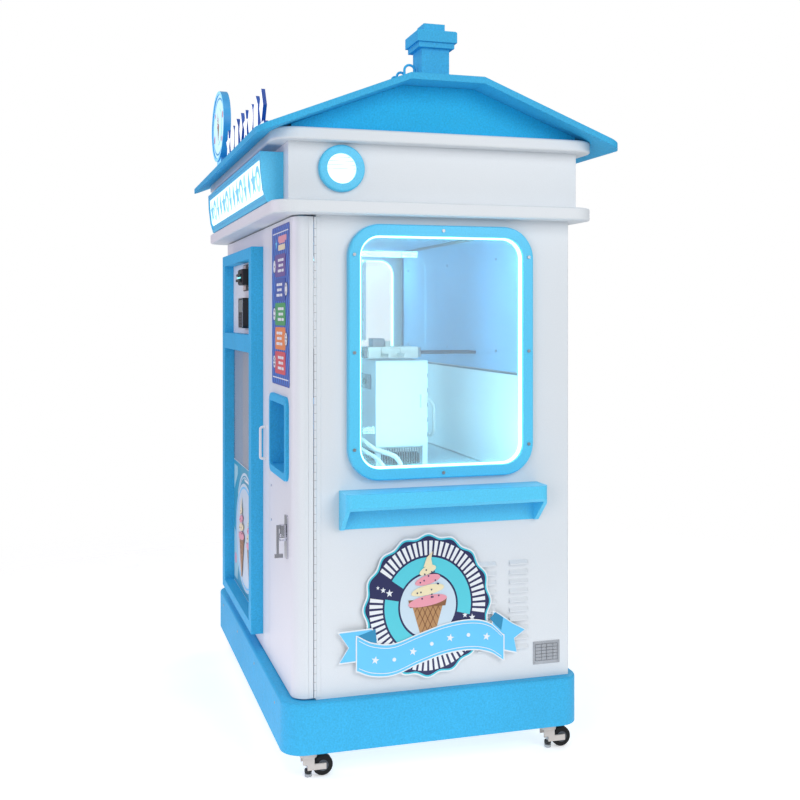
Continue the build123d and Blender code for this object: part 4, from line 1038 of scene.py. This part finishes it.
# ------------------------------------------------------------------ plinth and ledge screws
screws("plinth_screws", [(x, -0.4872, 0.205) for x in (-0.60, -0.2, 0.2, 0.60)], "y", 0.0045, -0.0022, M["steel"])
screws("plinth_screws_rear", [(x, 0.4872, 0.205) for x in (-0.60, -0.2, 0.2, 0.60)], "y", 0.0045, 0.0022, M["steel"])
screws("ledge_screws", [(sx * 0.7997, y, 1.742) for sx in (1,) for y in ()] or [(0.0, 0.5252, 1.740), (0.4, 0.5252, 1.740), (-0.4, 0.5252, 1.740)], "y", 0.004, 0.002, M["steel"])

# ------------------------------------------------------------------ latch: key cylinder and escutcheon
lathe("key_ring", [(0.0050, 0.0), (0.0088, 0.0), (0.0092, -0.0012), (0.0080, -0.0026), (0.0050, -0.0026)], "y", (0.623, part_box("latch_spindle")[0].y + 0.0008, 0.725), M["chrome"], "spindle", 28)
boxes("key_slot", [(0.6218, 0.6242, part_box("latch_spindle")[0].y - 0.0006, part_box("latch_spindle")[0].y + 0.001, 0.7205, 0.7295)], M["black"], "spindle", bevel=0.0)

# ------------------------------------------------------------------ floor, light, camera
def fade(nt, v, a, b):
    r = nt.nodes.new("ShaderNodeMapRange")
    r.inputs["From Min"].default_value = a
    r.inputs["From Max"].default_value = b
    nt.links.new(v, r.inputs["Value"])
    return r.outputs[0]


def floor():
    me = bpy.data.meshes.new("floor")
    s = 30
    me.from_pydata([(-s, -s, -0.0005), (s, -s, -0.0005), (s, s, -0.0005), (-s, s, -0.0005)], [], [(0, 1, 2, 3)])
    o = bpy.data.objects.new("floor", me)
    bpy.context.scene.collection.objects.link(o)
    m, nt, p = mat("floor_pale")
    n = node(nt, "ShaderNodeTexNoise", Scale=3.0, Detail=3.0)
    nt.links.new(coords(nt), n.inputs["Vector"])
    c = ramp(nt, n.outputs[0], [(0.3, (0.90, 0.905, 0.91, 1)), (0.7, (0.93, 0.93, 0.935, 1))])
    nt.links.new(c, p.inputs["Base Color"])
    nt.links.new(c, p.inputs["Emission Color"])
    p.inputs["Emission Strength"].default_value = 0.46
    ln = nt.nodes.new("ShaderNodeVectorMath")
    ln.operation = "LENGTH"
    nt.links.new(coords(nt), ln.inputs[0])
    nt.links.new(ramp(nt, fade(nt, ln.outputs["Value"], 1.3, 3.6), [(0.0, (1, 1, 1, 1)), (1.0, (0, 0, 0, 1))], "EASE"), p.inputs["Alpha"])
    p.inputs["Roughness"].default_value = 0.7
    p.inputs["Specular IOR Level"].default_value = 0.2
    me.materials.append(m)


floor()
W = bpy.data.worlds.new("studio")
bpy.context.scene.world = W
W.use_nodes = True
bg = W.node_tree.nodes["Background"]
bg.inputs[0].default_value = (0.92, 0.96, 1.0, 1)
bg.inputs[1].default_value = 0.40
bg2 = W.node_tree.nodes.new("ShaderNodeBackground")
bg2.inputs[0].default_value = (1.0, 1.0, 1.0, 1)
bg2.inputs[1].default_value = 1.0
lp = W.node_tree.nodes.new("ShaderNodeLightPath")
mx = W.node_tree.nodes.new("ShaderNodeMixShader")
W.node_tree.links.new(lp.outputs["Is Camera Ray"], mx.inputs[0])
W.node_tree.links.new(bg.outputs[0], mx.inputs[1])
W.node_tree.links.new(bg2.outputs[0], mx.inputs[2])
W.node_tree.links.new(mx.outputs[0], W.node_tree.nodes["World Output"].inputs[0])
bpy.context.scene.view_settings.view_transform = "Standard"


def area(name, loc, target, size, power, col=(1, 1, 1)):
    l = bpy.data.lights.new(name, "AREA")
    l.energy = power
    l.color = col
    l.shape = "RECTANGLE"
    l.size, l.size_y = size
    o = bpy.data.objects.new(name, l)
    o.location = loc
    o.rotation_euler = (Vector(target) - Vector(loc)).to_track_quat("-Z", "Y").to_euler()
    bpy.context.scene.collection.objects.link(o)
    return o


area("key", (4.6, 1.8, 3.2), (0.4, 0.0, 1.2), (2.6, 2.6), 92)
area("side_fill", (3.6, -2.6, 1.6), (0.5, -0.2, 1.1), (1.6, 2.4), 30)
area("front_fill", (-0.8, -4.6, 2.0), (0.0, -0.4, 1.0), (2.4, 2.4), 52, (1.0, 0.70, 1.0))
area("top_fill", (0.8, -1.6, 5.2), (0, -0.2, 1.5), (3.0, 3.0), 52)
area("rear_fill", (-3.5, 3.5, 2.8), (0, 0, 1.2), (2.4, 2.4), 50)

for n_, sx in (("in_right", 1), ("in_left", -1)):
    for tag, z, tz, pw in (("top", 1.66, 1.0, 2.3), ("low", 0.955, 1.5, 1.5)):
        a_ = area(n_ + tag, (sx * 0.690, 0.02, z), (-sx * 0.1, 0.10, tz), (0.45, 0.03), pw, (0.42, 0.88, 1.0))
        a_.visible_camera = False
        a_.visible_glossy = False
a_ = area("in_front", (0.66, -0.27, 1.30), (-0.1, 0.2, 1.2), (0.03, 0.5), 1.0, (0.42, 0.88, 1.0))
a_.visible_camera = False
a_.visible_glossy = False

cam = bpy.data.cameras.new("cam")
cam.sensor_width = 36.0
cam.lens = 1094.36 / 800 * 36.0
cam.shift_x = 0.0
cam.shift_y = -0.1054
co_ = bpy.data.objects.new("cam", cam)
co_.location = (3.988, -1.096, 1.413)
co_.rotation_euler = (math.radians(90), 0, math.radians(73.285))
bpy.context.scene.collection.objects.link(co_)
bpy.context.scene.camera = co_
